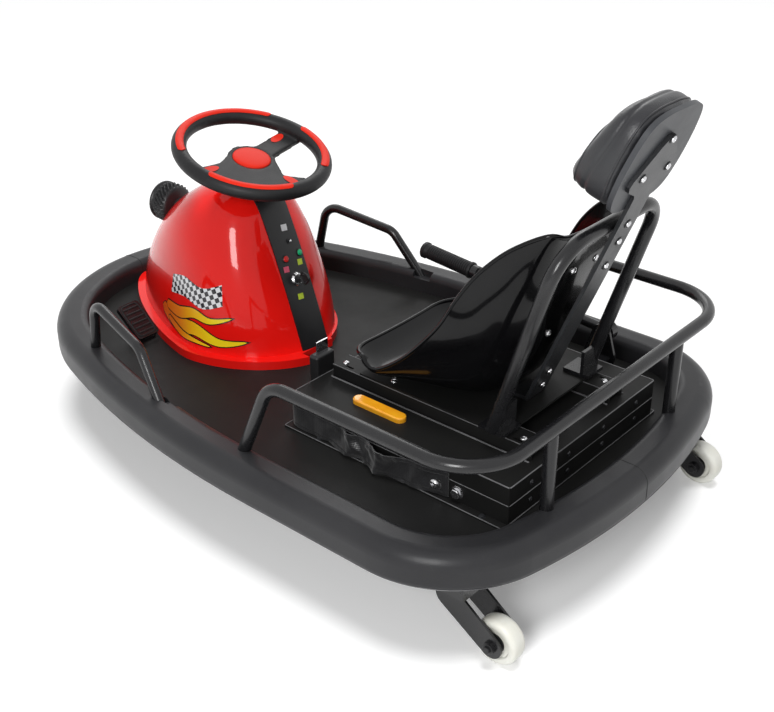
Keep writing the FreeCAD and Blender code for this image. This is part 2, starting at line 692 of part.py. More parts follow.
# ---------------------------------------------------------------- shroud

# Height, front, rear, widest place and half width of the shroud, each as a share of its own
# span, and how full the plan's front and rear halves are.
SHROUD_SECTIONS = (
    (0.000, 1.000, 0.000, 0.385, 1.00, 1.40, 1.8),
    (0.040, 1.000, 0.000, 0.385, 1.00, 1.40, 1.8),
    (0.055, 0.962, 0.056, 0.385, 0.90, 1.40, 1.9),
    (0.260, 0.927, 0.100, 0.388, 0.84, 1.45, 2.3),
    (0.500, 0.842, 0.150, 0.394, 0.77, 1.60, 2.4),
    (0.700, 0.740, 0.194, 0.408, 0.69, 1.75, 2.4),
    (0.850, 0.635, 0.229, 0.415, 0.59, 1.90, 2.3),
    (0.950, 0.542, 0.258, 0.408, 0.46, 2.00, 2.2),
    (1.000, 0.471, 0.292, 0.385, 0.28, 2.00, 2.0),
)


def shroud_section(share, front, rear, widest, width, front_power, rear_power, grow):
    """Closed plan outline of the shroud at one height, grown all round."""
    span = size("shroud_front") - size("shroud_rear")
    level = size("deck_top") + size("shroud_height") * share
    middle = size("shroud_rear") + span * widest
    half = size("shroud_half_width") * width + grow
    count = 32
    points = []
    for index in range(count):
        angle = 2 * math.pi * index / count
        ahead, across = math.cos(angle), math.sin(angle)
        reach, power = span * (front - widest) + grow, front_power
        if ahead < 0:
            reach, power = span * (widest - rear) + grow, rear_power
        x = math.copysign(abs(ahead) ** (2 / power), ahead) * reach
        y = math.copysign(abs(across) ** (2 / power), across) * half
        points.append(Vector(middle + x, y, level))
    return closed_curve(points)


def shroud_solid(grow):
    """Body of the shroud above its foot flange, grown or shrunk all round."""
    return Part.makeLoft([shroud_section(*row, grow) for row in SHROUD_SECTIONS[2:]], True, False)


def make_shroud():
    wall, deck = size("shroud_wall"), size("deck_top")
    flange_top = deck + size("shroud_height") * SHROUD_SECTIONS[2][0]
    body = shroud_solid(0)
    foot = Part.Face(shroud_section(*SHROUD_SECTIONS[0], 0))
    foot = foot.extrude(Vector(0, 0, flange_top - deck))
    notch_half = size("panel_width") / 2 + 8
    foot = foot.cut(block((0, size("shroud_rear") + 26), (-notch_half, notch_half), (0, flange_top + 1)))
    kept = Part.Face(shroud_section(*SHROUD_SECTIONS[2], size("flange_trim")))
    kept = kept.extrude(Vector(0, 0, deck - flange_top))
    right_rear = block((0, size("drive_pivot")),
                       (-2 * size("shroud_half_width"), -notch_half), (0, flange_top))
    foot = foot.cut(right_rear.cut(kept))
    shell = body.fuse(foot)
    hollow = Part.makeLoft([shroud_section(*row, -wall) for row in SHROUD_SECTIONS[2:-1]], True, False)
    hollow_foot = Part.Face(shroud_section(*SHROUD_SECTIONS[2], -wall))
    hollow_foot = hollow_foot.extrude(Vector(0, 0, -(flange_top - deck) - 1))
    passage = cylinder(size("column_radius") + 3, column_point(deck), column_axis(), 500)
    shell = shell.cut(hollow).cut(hollow_foot).cut(passage)
    feature("front_shroud", shell.removeSplitter())


def make_panel():
    """Control strip up the whole of the shroud's rear face."""
    thickness, width = size("panel_thickness"), size("panel_width")
    deck, height = size("deck_top"), size("shroud_height")
    flange_top = deck + height * SHROUD_SECTIONS[2][0]
    strip_zone = block((size("shroud_rear") - 20, size("drive_pivot")), (-width / 2, width / 2),
                       (flange_top + size("seat_gap"), deck + height))
    strip = shroud_solid(thickness).common(strip_zone).cut(shroud_solid(0))
    strip = max(strip.Solids, key=lambda s: s.Volume)
    feature("control_strip", strip)


def make_collar():
    """Bush that carries the column, seated on top of the shroud."""
    bore = size("column_radius") + size("running_gap")
    seat = size("deck_top") + size("shroud_height") + size("seat_gap")
    top = wheel_hub() - column_axis() * (size("wheel_boss_height") + 6)
    low = column_point(seat - 20)
    collar = Part.makeCone(36, 24, (top - low).Length, low, column_axis())
    below = block((-100, 500), (-100, 100), (0, seat))
    feature("column_collar", collar.cut(below).cut(cylinder(bore, low, column_axis(), 200)))


def panel_face(height_share, y, skin):
    """Point of a skin's rear face at one height and side, and its outward direction."""
    level = size("deck_top") + size("shroud_height") * height_share

    def meet(height):
        outside = Vector(size("shroud_rear") - 50, y, height)
        line = Part.makeLine(outside, Vector(size("drive_pivot"), y, height))
        return min((v.Point for v in line.common(skin).Vertexes), key=lambda p: p.x)

    run = meet(level + 2) - meet(level - 2)
    return meet(level), Vector(-run.z, 0, run.x).normalize()


# Height share, Y, radius and stand-out of the toggle, the green button and the red one.
BUTTONS = ((0.695, -7, 4.5, 4), (0.612, -23, 6, 4), (0.606, 13, 6, 4))


def make_controls():
    """Key switch, toggle and push buttons on the strip."""
    skin = shroud_solid(size("panel_thickness") + size("seat_gap"))

    def knob(share, y, radius, stand_out):
        point, outward = panel_face(share, y, skin)
        post = cylinder(radius, point - outward * 12, outward, 12 + stand_out)
        return min(post.cut(skin).Solids, key=lambda s: s.CenterOfMass.x)

    buttons = [knob(share, y, radius, out) for share, y, radius, out in BUTTONS]
    feature("strip_buttons", Part.makeCompound(buttons))
    key_share, key_y, stand_out = 0.474, 1, 5
    point, outward = panel_face(key_share, key_y, skin)
    bow = block((-2, 2), (-9, 9), (0, 26))
    bow.Placement = Placement(point + outward * stand_out, Rotation(Vector(0, 0, 1), outward))
    lock = knob(key_share, key_y, 13, stand_out)
    feature("key_switch", lock.fuse(bow).removeSplitter())


def make_headlamp():
    radius, length = size("lamp_radius"), size("lamp_length")
    face = Vector(size("lamp_front"), 0, size("lamp_height"))
    back = Vector(-1, 0, 0)
    housing = cylinder(radius, face, back, length)
    housing = housing.makeFillet(6, [e for e in housing.Edges if e.BoundBox.XLength < 0.01])
    neck = cylinder(16, face + back * length, back, 60)
    housing = housing.fuse(neck).cut(shroud_solid(size("seat_gap")))
    housing = max(housing.Solids, key=lambda s: s.Volume)
    recess = cylinder(radius - 5, face, back, 8)
    feature("headlamp_housing", housing.cut(recess))
    lens = cylinder(radius - 5.3, face + back * 8, Vector(1, 0, 0), 6)
    lens = lens.makeFillet(2, [e for e in lens.Edges if e.BoundBox.XMin > face.x - 2.1])
    feature("headlamp_lens", lens)


def make_pedals():
    deck = size("deck_top")
    length, width, thickness = size("pedal_length"), size("pedal_width"), size("pedal_thickness")
    tilt = size("pedal_tilt")
    for name, side in (("brake_pedal", 1), ("throttle_pedal", -1)):
        pad_block = block((0, length), (-width / 2, width / 2), (0, thickness))
        pad_block = pad_block.makeFillet(6, [e for e in pad_block.Edges if e.BoundBox.ZLength > 1])
        pad_block.rotate(Vector(), Vector(0, 1, 0), -tilt)
        lean = math.radians(tilt)
        pad_block.translate(Vector(size("pedal_x"), side * size("pedal_side"), deck + 6))
        stay_x = size("pedal_x") + length * math.cos(lean) * 0.55
        middle = side * size("pedal_side")
        stay = block((stay_x - 8, stay_x + 8), (middle - 14, middle + 14),
                     (deck, deck + 6 + (stay_x - size("pedal_x")) * math.tan(lean)))
        base = block((stay_x - 30, stay_x + 30), (middle - 20, middle + 20), (deck, deck + 4))
        feature(name, pad_block.fuse([stay, base]).removeSplitter())


# ---------------------------------------------------------------- rails

def guard_tube_solid(flip, grow):
    """One side guard's bent tube, grown all round."""
    radius, top = size("guard_tube"), size("guard_height")
    front, rear = guard_feet()
    drop = 30
    points = [front, Vector(front.x - 27, front.y + 8, top),
              Vector(163, half_width_at(163, size("rim_width") - 20) - 6, top - drop + 4), rear]
    return tube([mirrored(p) for p in points] if flip else points, radius + grow, 32)


def make_guards():
    feature("side_guard_left", guard_tube_solid(False, 0))
    feature("side_guard_right", guard_tube_solid(True, 0))


def rail_solid(grow):
    """Rear rail with its two posts, grown all round."""
    radius, top = size("rail_tube") + grow, size("rail_height")
    foot, post = rail_feet()
    half, tail = size("rail_half_width"), -size("rail_tail")
    left = [foot, Vector(-size("rail_front"), half, top), Vector(tail, half, top)]
    route = left + [mirrored(p) for p in reversed(left)]
    posts = [cylinder(radius, point, Vector(0, 0, 1), top - point.z) for point in (post, mirrored(post))]
    bend = size("rail_bend")
    return mixed_tube(route, radius, (48, bend, bend, 48)).fuse(posts).removeSplitter()


def make_rear_rail():
    feature("rear_rail", rail_solid(0))


# ---------------------------------------------------------------- seat

def box_middle():
    return -size("box_rear") + size("box_length") / 2


def make_seat_box():
    """Folded sheet box on a foot flange; open underneath, over the battery."""
    length, width, height = size("box_length"), size("box_width"), size("box_height")
    wall, flange, deck = size("box_wall"), size("box_flange"), size("deck_top")
    rear = -size("box_rear")
    shell = block((rear, rear + length), (-width / 2, width / 2), (deck, deck + height))
    foot = block((rear, rear + length + flange), (-width / 2 - flange, width / 2 + flange),
                 (deck, deck + wall))
    hollow = block((rear + wall, rear + length - wall), (-width / 2 + wall, width / 2 - wall),
                   (deck - 1, deck + height - wall))
    feature("seat_box", shell.fuse(foot).removeSplitter().cut(hollow))
    plate("battery", "Sizes.battery_length", "Sizes.battery_width", "Sizes.battery_height",
          "Sizes.box_length / 2 - Sizes.box_rear", "0", "Sizes.deck_top")


def make_slides():
    """Slotted seat slides on the box, and the plate that joins them."""
    deck_level = "Sizes.deck_top + Sizes.box_height"
    count = int(size("slot_count"))
    pitch = (size("slide_length") - 60) / (count - 1)
    level = size("deck_top") + size("box_height")
    for name, side in (("left", 1), ("right", -1)):
        y = side * size("slide_spread") / 2
        rear = -size("slide_front") - size("slide_length")
        half = size("slide_width") / 2
        bar = block((rear, rear + size("slide_length")), (y - half, y + half),
                    (level, level + size("slide_height")))
        bar = bar.cut(block((rear - 1, rear + size("slide_length") + 1), (y - half + 3, y + half - 3),
                            (level - 1, level + size("slide_height") - 3)))
        slots = []
        for index in range(count):
            x = rear + 30 + index * pitch
            slots.append(block((x - 8, x + 8), (y + side * 9, y + side * 14), (level, level + 40)))
        feature(f"seat_slide_{name}", bar.cut(slots))
    plate("seat_pan_plate", "Sizes.pan_plate_length", "Sizes.slide_spread + Sizes.slide_width",
          "Sizes.pan_plate_thickness", "-Sizes.pan_plate_back", "0", deck_level + " + Sizes.slide_height")


# Bottom point, rim point (X, Z) and half width at the rim, from the front lip to the top.
SEAT_STATIONS = (
    ((-132, 276), (-128, 292), 140),
    ((-160, 262), (-157, 282), 147),
    ((-208, 252), (-203, 281), 149),
    ((-270, 249.6), (-257, 318), 151),
    ((-330, 250), (-303, 366), 153),
    ((-375, 262), (-337, 409), 154),
    ((-410, 294), (-362, 455), 152),
    ((-437, 350), (-390, 500), 142),
    ((-460, 415), (-426, 539), 130),
    ((-480, 480), (-462, 565), 121),
    ((-494, 536), (-488, 579), 113),
    ((-501, 563), (-498, 580), 104),
)


def seat_section(bottom, rim, half, wall):
    """Closed section of the seat shell in the plane through one bottom and rim point."""
    low = Vector(bottom[0], 0, bottom[1])
    rise = Vector(rim[0], 0, rim[1]) - low
    depth = rise.Length
    up = rise.normalize()
    width = half * size("seat_scale")

    def curve(across, tall, lift):
        points = []
        count = 12
        for index in range(count + 1):
            angle = math.pi * (index / count - 0.5)
            s, c = math.sin(angle), math.cos(angle)
            y = math.copysign(abs(s) ** 0.8, s) * across
            points.append(low + Vector(0, y, 0) + up * (lift + tall * (1 - c ** 0.9)))
        spline = Part.BSplineCurve()
        spline.interpolate(points)
        return spline.toShape(), points[0], points[-1]

    outer, outer_first, outer_last = curve(width, depth, 0)
    inner, inner_first, inner_last = curve(width - wall, depth - wall, wall)
    return Part.Wire([outer, Part.makeLine(outer_last, inner_last), inner,
                      Part.makeLine(inner_first, outer_first)])


def make_seat():
    wall = size("seat_wall")
    wires = [seat_section(bottom, rim, half, wall) for bottom, rim, half in SEAT_STATIONS]
    feature("seat_shell", Part.makeLoft(wires, True, False))


def plate_top():
    """Level of the seat pan plate's upper face."""
    return size("deck_top") + size("box_height") + size("slide_height") + size("pan_plate_thickness")


def hoop_x(height):
    """X of the hoop's leg axis at one height."""
    return -size("hoop_foot") - (height - plate_top()) * math.tan(math.radians(size("hoop_lean")))


def make_hoop():
    radius, half = size("hoop_tube"), size("hoop_half_width")
    base, top = plate_top(), size("hoop_top")
    foot_level = base + 4
    left = [Vector(hoop_x(foot_level), half, foot_level), Vector(hoop_x(top), half, top)]
    bar = tube(left + [mirrored(p) for p in reversed(left)], radius, size("hoop_bend"))
    feet = []
    for side in (1, -1):
        inner, outer = side * (size("slide_spread") / 2 - 16), side * (half + 4)
        feet.append(block((hoop_x(base) - 26, hoop_x(base) + 22), (inner, outer), (base, base + 6)))
        feet.append(block((hoop_x(base) - 16, hoop_x(base) - 10), (inner, outer), (base, base + 46)))
    feature("seat_hoop", bar.fuse(feet).removeSplitter())


def strap_directions():
    """Up along the strap, and squarely ahead of it."""
    lean = math.radians(size("strap_lean"))
    return Vector(-math.sin(lean), 0, math.cos(lean)), Vector(math.cos(lean), 0, math.sin(lean))


def strap_back(height):
    """Point of the strap's back face in the middle plane, at one height."""
    run = math.tan(math.radians(size("strap_lean")))
    return Vector(-size("strap_foot") - (height - plate_top()) * run, 0, height)


# Half width and height of the strap's spade above the middle of the headrest board.
SPADE = ((7, 41), (20, 28), (57, -18), (60, -27), (55, -37), (30, -50), (25, -58))
TOE_LENGTH = 34


def make_strap():
    """Flat bar from a toe on the seat pan plate, past the hoop, to a spade on the board."""
    width, thickness = size("strap_width"), size("strap_thickness")
    up, ahead = strap_directions()
    foot = strap_back(plate_top())
    spade_middle = strap_back(size("board_level"))
    top = spade_middle + up * SPADE[-1][1]
    front_foot = foot + Vector(thickness / ahead.x, 0, 0)
    toe_tip = foot + Vector(TOE_LENGTH, 0, 0)
    lift = Vector(0, 0, thickness)
    knee = front_foot + up * (thickness / up.z)
    profile = [foot, toe_tip, toe_tip + lift, knee, top + ahead * thickness, top]
    bar = Part.Face(Part.makePolygon(profile + [profile[0]]))
    bar.translate(Vector(0, -width / 2, 0))
    outline = [spade_middle + Vector(0, y, 0) + up * rise for y, rise in SPADE]
    outline += [spade_middle + Vector(0, -y, 0) + up * rise for y, rise in reversed(SPADE)]
    spade = Part.Face(Part.makePolygon(outline + [outline[0]])).extrude(ahead * thickness)
    feature("headrest_strap", bar.extrude(Vector(0, width, 0)).fuse(spade).removeSplitter())


def headrest_frame():
    """Middle of the board's back face, with its up and forward directions."""
    up, ahead = strap_directions()
    middle = strap_back(size("board_level")) + ahead * (size("strap_thickness") + size("seat_gap"))
    return middle, up, ahead


# Half width and height of the headrest board's outline, each as a share of its own span.
BOARD_SHARES = ((0, 0.5), (0.5, 0.485), (0.78, 0.42), (0.92, 0.28), (0.99, 0.08), (1.0, -0.1),
                (0.95, -0.28), (0.82, -0.42), (0.5, -0.49), (0, -0.5))


def board_outline(scale_y, scale_s):
    half, height = size("board_half_width"), size("board_height")
    right = [(y * half * scale_y, s * height * scale_s) for y, s in BOARD_SHARES]
    left = [(-y, s) for y, s in reversed(right[1:-1])]
    return right + left


def make_headrest():
    middle, run, ahead = headrest_frame()
    board_depth, pad_depth = size("board_thickness"), size("pad_thickness")
    half_height, taper = size("board_height") / 2, size("pad_taper")

    def section(scale, forward, depth):
        points = []
        for y, s in board_outline(scale, scale):
            reach = forward + depth * (1 - taper * s / half_height)
            points.append(middle + Vector(0, y, 0) + run * s + ahead * reach)
        return closed_curve(points)

    board = Part.makeLoft([section(1, 0, 0), section(1, board_depth, 0)], True, True)
    feature("headrest_board", board)
    front = board_depth + size("seat_gap")
    layers = ((0.99, 0), (1.03, 0.25), (1.03, 0.55), (0.96, 0.85), (0.8, 1))
    wires = [section(scale, front, pad_depth * share) for scale, share in layers]
    feature("headrest_pad", Part.makeLoft(wires, True, False))


# ---------------------------------------------------------------- lever, reflectors and belt

def lever_pivot():
    return Vector(-size("lever_pivot_back"), -size("lever_side"), size("lever_pivot_height"))


def make_lever():
    pivot = lever_pivot()
    rise = math.radians(size("lever_rise"))
    onward = Vector(math.cos(rise), 0, math.sin(rise))
    radius, grip = size("lever_tube"), size("grip_radius")
    bar_end = size("lever_length") - size("grip_length")
    boss = cylinder(18, pivot - Vector(0, 8, 0), Vector(0, 1, 0), 16)
    bar = cylinder(radius, pivot, onward, size("lever_length") - 6)
    collar = cylinder(radius + 4, pivot + onward * (bar_end - 14), onward, 13.5)
    bore = cylinder(size("lever_pin") + size("running_gap"), pivot - Vector(0, 30, 0), Vector(0, 1, 0), 60)
    feature("drift_lever", boss.fuse([bar, collar]).removeSplitter().cut(bore))
    handle = cylinder(grip, pivot + onward * bar_end, onward, size("grip_length"))
    handle = handle.makeFillet(4, [handle.Edges[0], handle.Edges[2]])
    socket = cylinder(radius + 0.05, pivot + onward * (bar_end - 1), onward, size("grip_length") - 5)
    feature("lever_grip", handle.cut(socket))


def make_lever_bracket():
    """Cheek plate on the seat box's right side, with the lever's pivot pin."""
    pivot = lever_pivot()
    box_side = -size("box_width") / 2
    cheek_y = pivot.y + 14
    cheek = link_face(Vector(pivot.x, 0, size("deck_top") + size("box_height") - 10), 30,
                      Vector(pivot.x, 0, pivot.z), 18)
    cheek.translate(Vector(0, cheek_y, 0))
    cheek = cheek.extrude(Vector(0, 5, 0))
    spacer = block((pivot.x - 24, pivot.x + 24), (cheek_y, box_side),
                   (size("deck_top") + 12, size("deck_top") + size("box_height") - 8))
    pin = cylinder(size("lever_pin"), Vector(pivot.x, cheek_y + 5, pivot.z), Vector(0, -1, 0),
                   cheek_y + 5 - pivot.y + 12)
    head = cylinder(11, pivot - Vector(0, 9, 0), Vector(0, -1, 0), 5)
    feature("lever_bracket", cheek.fuse([spacer, pin, head]).removeSplitter())


def make_reflectors():
    length, width = size("reflector_length"), size("reflector_width")
    height = size("reflector_height")
    level = size("deck_top") + size("box_height")
    for name, side in (("left", 1), ("right", -1)):
        x, y = -size("reflector_back"), side * size("reflector_side")
        straight = (length - width) / 2
        bar = block((x - straight, x + straight), (y - width / 2, y + width / 2), (level, level + height))
        ends = [cylinder(width / 2, Vector(x + end * straight, y, level), Vector(0, 0, 1), height)
                for end in (1, -1)]
        lozenge = bar.fuse(ends).removeSplitter()
        upper = [e for e in lozenge.Edges if e.BoundBox.ZMin > level + height - 0.01]
        feature(f"side_reflector_{name}", lozenge.makeFillet(3, upper))


# X and distance out from the seat box's side, from the anchor to the free end.
BELT_ROUTES = {
    "left": ((-402, 0), (-350, 7), (-290, 16), (-230, 9), (-170, 3.5), (-130, 3),
             (-90, 4), (-73, -6), (-65, -30), (-62, -60)),
    "right": ((-340, 0), (-300, 8), (-250, 12), (-200, 7), (-160, 3.5), (-125, 3),
              (-90, 4), (-73, -6), (-65, -30), (-62, -60)),
}


def make_belt():
    """Webbing on edge along the seat box's sides, and the buckle at its front corner."""
    thickness = size("belt_thickness")
    floor = size("deck_top") + size("box_wall") + size("seat_gap")
    side_y = size("box_width") / 2 + size("seat_gap")
    for name, side in (("left", 1), ("right", -1)):
        centre_line = [Vector(x, side * (side_y + out), floor) for x, out in BELT_ROUTES[name]]
        feature(f"belt_webbing_{name}", ribbon(centre_line, side * thickness, size("belt_width")))
    front = -size("box_rear") + size("box_length") + size("seat_gap")
    low = floor + size("belt_width") + size("seat_gap")
    y = size("box_width") / 2 - 76
    case = block((front, front + 20), (y - 22, y + 22), (low, low + size("buckle_height")))
    case = case.makeFillet(5, [e for e in case.Edges])
    tongue = block((front + 8, front + 11), (y - 13, y + 13), (low + 30, low + size("buckle_height") + 22))
    case = case.cut(block((front + 7.7, front + 11.3), (y - 13.3, y + 13.3),
                          (low + 30, low + size("buckle_height") + 1)))
    feature("belt_buckle", case)
    feature("belt_tongue", tongue)


def ribbon(points, thickness, height):
    """Upright band along a smooth curve through the points, thickened outwards."""
    normals = []
    for index, point in enumerate(points):
        before, after = points[max(index - 1, 0)], points[min(index + 1, len(points) - 1)]
        run = (after - before).normalize()
        normals.append(Vector(-run.y, run.x, 0) * thickness)
    inner, outer = Part.BSplineCurve(), Part.BSplineCurve()
    inner.interpolate(points)
    shifted = [point + normal for point, normal in zip(points, normals)]
    outer.interpolate(shifted)
    edges = [inner.toShape(), Part.makeLine(points[-1], shifted[-1]), outer.toShape(),
             Part.makeLine(shifted[0], points[0])]
    return Part.Face(Part.Wire(edges)).extrude(Vector(0, 0, height))


def build():
    make_bumper_ring()
    make_deck()
    make_frame()
    make_casters()
    make_drive_wheel()
    make_drive_fork()
    make_steering_bridge()
    make_steering_wheel()
    make_column()
    make_shroud()
    make_panel()
    make_collar()
    make_controls()
    make_headlamp()
    make_pedals()
    make_guards()
    make_rear_rail()
    make_seat_box()
    make_slides()
    make_seat()
    make_hoop()
    make_strap()
    make_headrest()
    make_lever()
    make_lever_bracket()
    make_reflectors()
    make_belt()
    document.recompute()


def check_and_write():
    for item in document.Objects:
        if "Invalid" in item.State or "Error" in item.State:
            raise ValueError(f"{item.Label} failed: {item.State}")
    os.makedirs("parts", exist_ok=True)
    for piece in nodes:
        shape = piece.Shape
        if shape.isNull() or not shape.isValid() or not shape.Solids:
            raise ValueError(f"{piece.Label} has no valid solid")
    for piece in nodes:
        piece.Shape.exportStep(f"parts/{piece.Label}.step")
    print(len(nodes), "sub-parts written")


build()
check_and_write()
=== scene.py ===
import json
import math

import bmesh
import bpy
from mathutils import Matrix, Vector, noise
from mathutils.bvhtree import BVHTree


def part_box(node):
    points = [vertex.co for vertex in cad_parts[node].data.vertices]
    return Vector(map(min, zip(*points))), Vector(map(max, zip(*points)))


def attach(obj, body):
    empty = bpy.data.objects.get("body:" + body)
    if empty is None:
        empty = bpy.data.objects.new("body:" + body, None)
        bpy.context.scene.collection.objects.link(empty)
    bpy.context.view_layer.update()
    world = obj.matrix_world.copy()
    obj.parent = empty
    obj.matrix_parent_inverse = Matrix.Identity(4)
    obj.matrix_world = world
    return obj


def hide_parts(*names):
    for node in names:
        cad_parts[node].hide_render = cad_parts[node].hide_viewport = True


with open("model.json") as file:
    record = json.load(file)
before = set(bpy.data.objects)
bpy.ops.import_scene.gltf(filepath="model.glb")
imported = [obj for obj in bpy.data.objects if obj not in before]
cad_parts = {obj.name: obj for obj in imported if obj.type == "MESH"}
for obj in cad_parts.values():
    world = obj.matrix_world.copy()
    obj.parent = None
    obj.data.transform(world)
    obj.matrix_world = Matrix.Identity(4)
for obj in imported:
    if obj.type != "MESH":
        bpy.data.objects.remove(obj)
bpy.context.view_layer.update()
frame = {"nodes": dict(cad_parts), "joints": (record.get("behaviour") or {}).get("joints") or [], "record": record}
solids = frame["nodes"]
print("kart loaded:", len(solids), "solids")

axisX, axisY, axisZ = Vector((1, 0, 0)), Vector((0, 1, 0)), Vector((0, 0, 1))
sharpAngle = math.radians(38)  # edges bent more than this stay crisp
behind = -0.9  # X of a place behind the whole kart


# helpers for meshes

def linkObject(name, data):
    made = bpy.data.objects.new(name, data)
    bpy.context.scene.collection.objects.link(made)
    return made


def joinShapes(shapes):
    verts, faces = [], []
    for vs, fs in shapes:
        base = len(verts)
        verts += vs
        faces += [tuple(i + base for i in f) for f in fs]
    return verts, faces


def addMesh(name, shapes, surface, body="kart"):
    # a new piece from a list of shapes, each of them points and faces
    verts, faces = joinShapes(shapes)
    mesh = bpy.data.meshes.new(name)
    mesh.from_pydata([tuple(v) for v in verts], [], faces)
    mesh.update()
    return finishPiece(linkObject(name, mesh), surface, body)


def finishPiece(piece, surface, body="kart"):
    # faces outward and smoothly shaded, then the material and the body
    piece.data.shade_smooth()
    work = bmesh.new()
    work.from_mesh(piece.data)
    bmesh.ops.recalc_face_normals(work, faces=work.faces)
    for edge in work.edges:
        edge.smooth = not edge.is_manifold or edge.calc_face_angle() < sharpAngle
    work.to_mesh(piece.data)
    work.free()
    piece.data.materials.clear()
    piece.data.materials.append(surfaces[surface])
    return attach(piece, body)


def frameAt(direction):
    # the direction and two more square to it
    d = Vector(direction).normalized()
    side = d.cross(axisZ)
    side = axisY if side.length < 0.0001 else side.normalized()
    return d, side, side.cross(d)


def leaning(degrees):
    # forward along a slope, and square to it
    c, s = math.cos(math.radians(degrees)), math.sin(math.radians(degrees))
    return Vector((c, 0, s)), Vector((-s, 0, c))


def turns(steps):
    return [2 * math.pi * k / steps for k in range(steps)]


def ringFaces(rows, steps, closed=False):
    # quads between rings of points, with a cap on each end of an open run
    faces = []
    for i in range(rows if closed else rows - 1):
        a, b = i * steps, (i + 1) % rows * steps
        faces += [(a + k, a + (k + 1) % steps, b + (k + 1) % steps, b + k) for k in range(steps)]
    if not closed:
        faces += [tuple(range(steps)), tuple(range((rows - 1) * steps, rows * steps))]
    return faces


def slabFaces(rows, cols):
    # a sheet of two layers of points, closed round its edge; also gives the edge's points
    wide = cols + 1
    layer = (rows + 1) * wide
    faces = []
    for i in range(rows):
        for k in range(cols):
            a, b = i * wide + k, (i + 1) * wide + k
            faces += [(a, a + 1, b + 1, b), (a + layer, b + layer, b + layer + 1, a + layer + 1)]
    edge = [i * wide for i in range(rows)] + [rows * wide + k for k in range(cols)]
    edge += [i * wide + cols for i in range(rows, 0, -1)] + list(range(cols, 0, -1))
    faces += [(a, b, b + layer, a + layer) for a, b in zip(edge, edge[1:] + edge[:1])]
    return faces, edge


def latheShape(profile, start, direction, steps=48, wobble=None):
    # profile: (distance along, radius) pairs; wobble(along, angle) adds to the radius
    d, side, up = frameAt(direction)
    verts = []
    for along, radius in profile:
        for turn in turns(steps):
            r = radius + (wobble(along, turn) if wobble else 0)
            verts.append(Vector(start) + d * along + (side * math.cos(turn) + up * math.sin(turn)) * r)
    return verts, ringFaces(len(profile), steps)


def spline(a, b, c, d, t):
    # a place between b and c on a smooth curve through all four
    return 0.5 * (2 * b + (c - a) * t + (2 * a - 5 * b + 4 * c - d) * t * t
                  + (3 * b - a - 3 * c + d) * t ** 3)


def smoothPath(points, perRun):
    pts = [Vector(p) for p in points]
    last = len(pts) - 1
    out = []
    for i in range(last):
        near = pts[max(i - 1, 0)], pts[i], pts[i + 1], pts[min(i + 2, last)]
        out += [spline(*near, k / perRun) for k in range(perRun)]
    return out + [pts[-1]]


def evenPath(points, step, closed=False):
    # the same line with points an even step apart
    pts = [Vector(p) for p in points]
    if closed:
        pts.append(pts[0].copy())
    reach = [0.0]
    for a, b in zip(pts, pts[1:]):
        reach.append(reach[-1] + (b - a).length)
    count = max(3, round(reach[-1] / step))
    out, i = [], 0
    for k in range(count if closed else count + 1):
        want = reach[-1] * k / count
        while i < len(pts) - 2 and reach[i + 1] < want:
            i += 1
        run = reach[i + 1] - reach[i]
        out.append(pts[i].lerp(pts[i + 1], (want - reach[i]) / run if run > 1e-9 else 0))
    return out


def sweepShape(points, radius, steps=10, closed=False, flatten=1.0, away=None):
    # a round bead along a line; away is the direction in which it may be flattened
    pts = [Vector(p) for p in points]
    n = len(pts)
    verts, side = [], None
    for i, p in enumerate(pts):
        a = pts[(i - 1) % n] if closed or i else pts[0]
        b = pts[(i + 1) % n] if closed or i < n - 1 else pts[-1]
        d = (b - a).normalized()
        if away is not None:
            side = d.cross(away).normalized()
        elif side is None:
            side = frameAt(d)[1]
        else:
            side = (side - d * side.dot(d)).normalized()
        up = side.cross(d)
        verts += [p + side * math.cos(turn) * radius + up * math.sin(turn) * radius * flatten
                  for turn in turns(steps)]
    return verts, ringFaces(n, steps, closed)


# heads of bolts: every size is a share of the bolt's radius, apart from sink
head = dict(sink=0.0006, edge=0.12, dome=(0.35, 0.7, 1.0, 1.25), socket=((0.86, 0.28), (0.5, 0.26)),
            washer=((0, 1.32), (0.14, 1.32), (0.18, 1.25)), hexLift=0.16, hexCrown=(0.1, 0.86))


def domeBolt(spot, direction, radius, height=0.4):
    # round button head with a socket
    edge, full = radius * head["edge"], radius * (head["edge"] + height)
    rows = [(-head["sink"], radius * 0.98), (0.0, radius), (edge, radius)]
    rows += [(edge + radius * height * math.sin(a), radius * math.cos(a)) for a in head["dome"]]
    rows += [(full * deep, radius * wide) for deep, wide in head["socket"]]
    return latheShape(rows, spot, direction, 20)


def hexBolt(spot, direction, radius, tall=0.55):
    # washer, six-sided head and a shallow crown
    washer = latheShape([(radius * a, radius * b) for a, b in head["washer"]], spot, direction, 24)
    more, narrow = head["hexCrown"]
    rows = [(0, radius), (radius * tall, radius), (radius * (tall + more), radius * narrow)]
    d = Vector(direction).normalized()
    return joinShapes([washer, latheShape(rows, Vector(spot) + d * radius * head["hexLift"], direction, 6)])


def surfaceTree(piece):
    # the piece as something that rays can meet
    mesh = piece.data
    return BVHTree.FromPolygons([v.co for v in mesh.vertices], [p.vertices for p in mesh.polygons])


def meetForward(tree, startX, y, z):
    # where a ray along X meets the surface, and the surface's direction there, facing back
    met, normal, _, _ = tree.ray_cast(Vector((startX, y, z)), axisX)
    return met, normal if normal.x < 0 else -normal


def copyNode(name, newName):
    return linkObject(newName, solids[name].data.copy())


def applyModifiers(piece):
    bpy.context.view_layer.update()
    made = bpy.data.meshes.new_from_object(piece.evaluated_get(bpy.context.evaluated_depsgraph_get()))
    old = piece.data
    piece.modifiers.clear()
    piece.data = made
    bpy.data.meshes.remove(old)


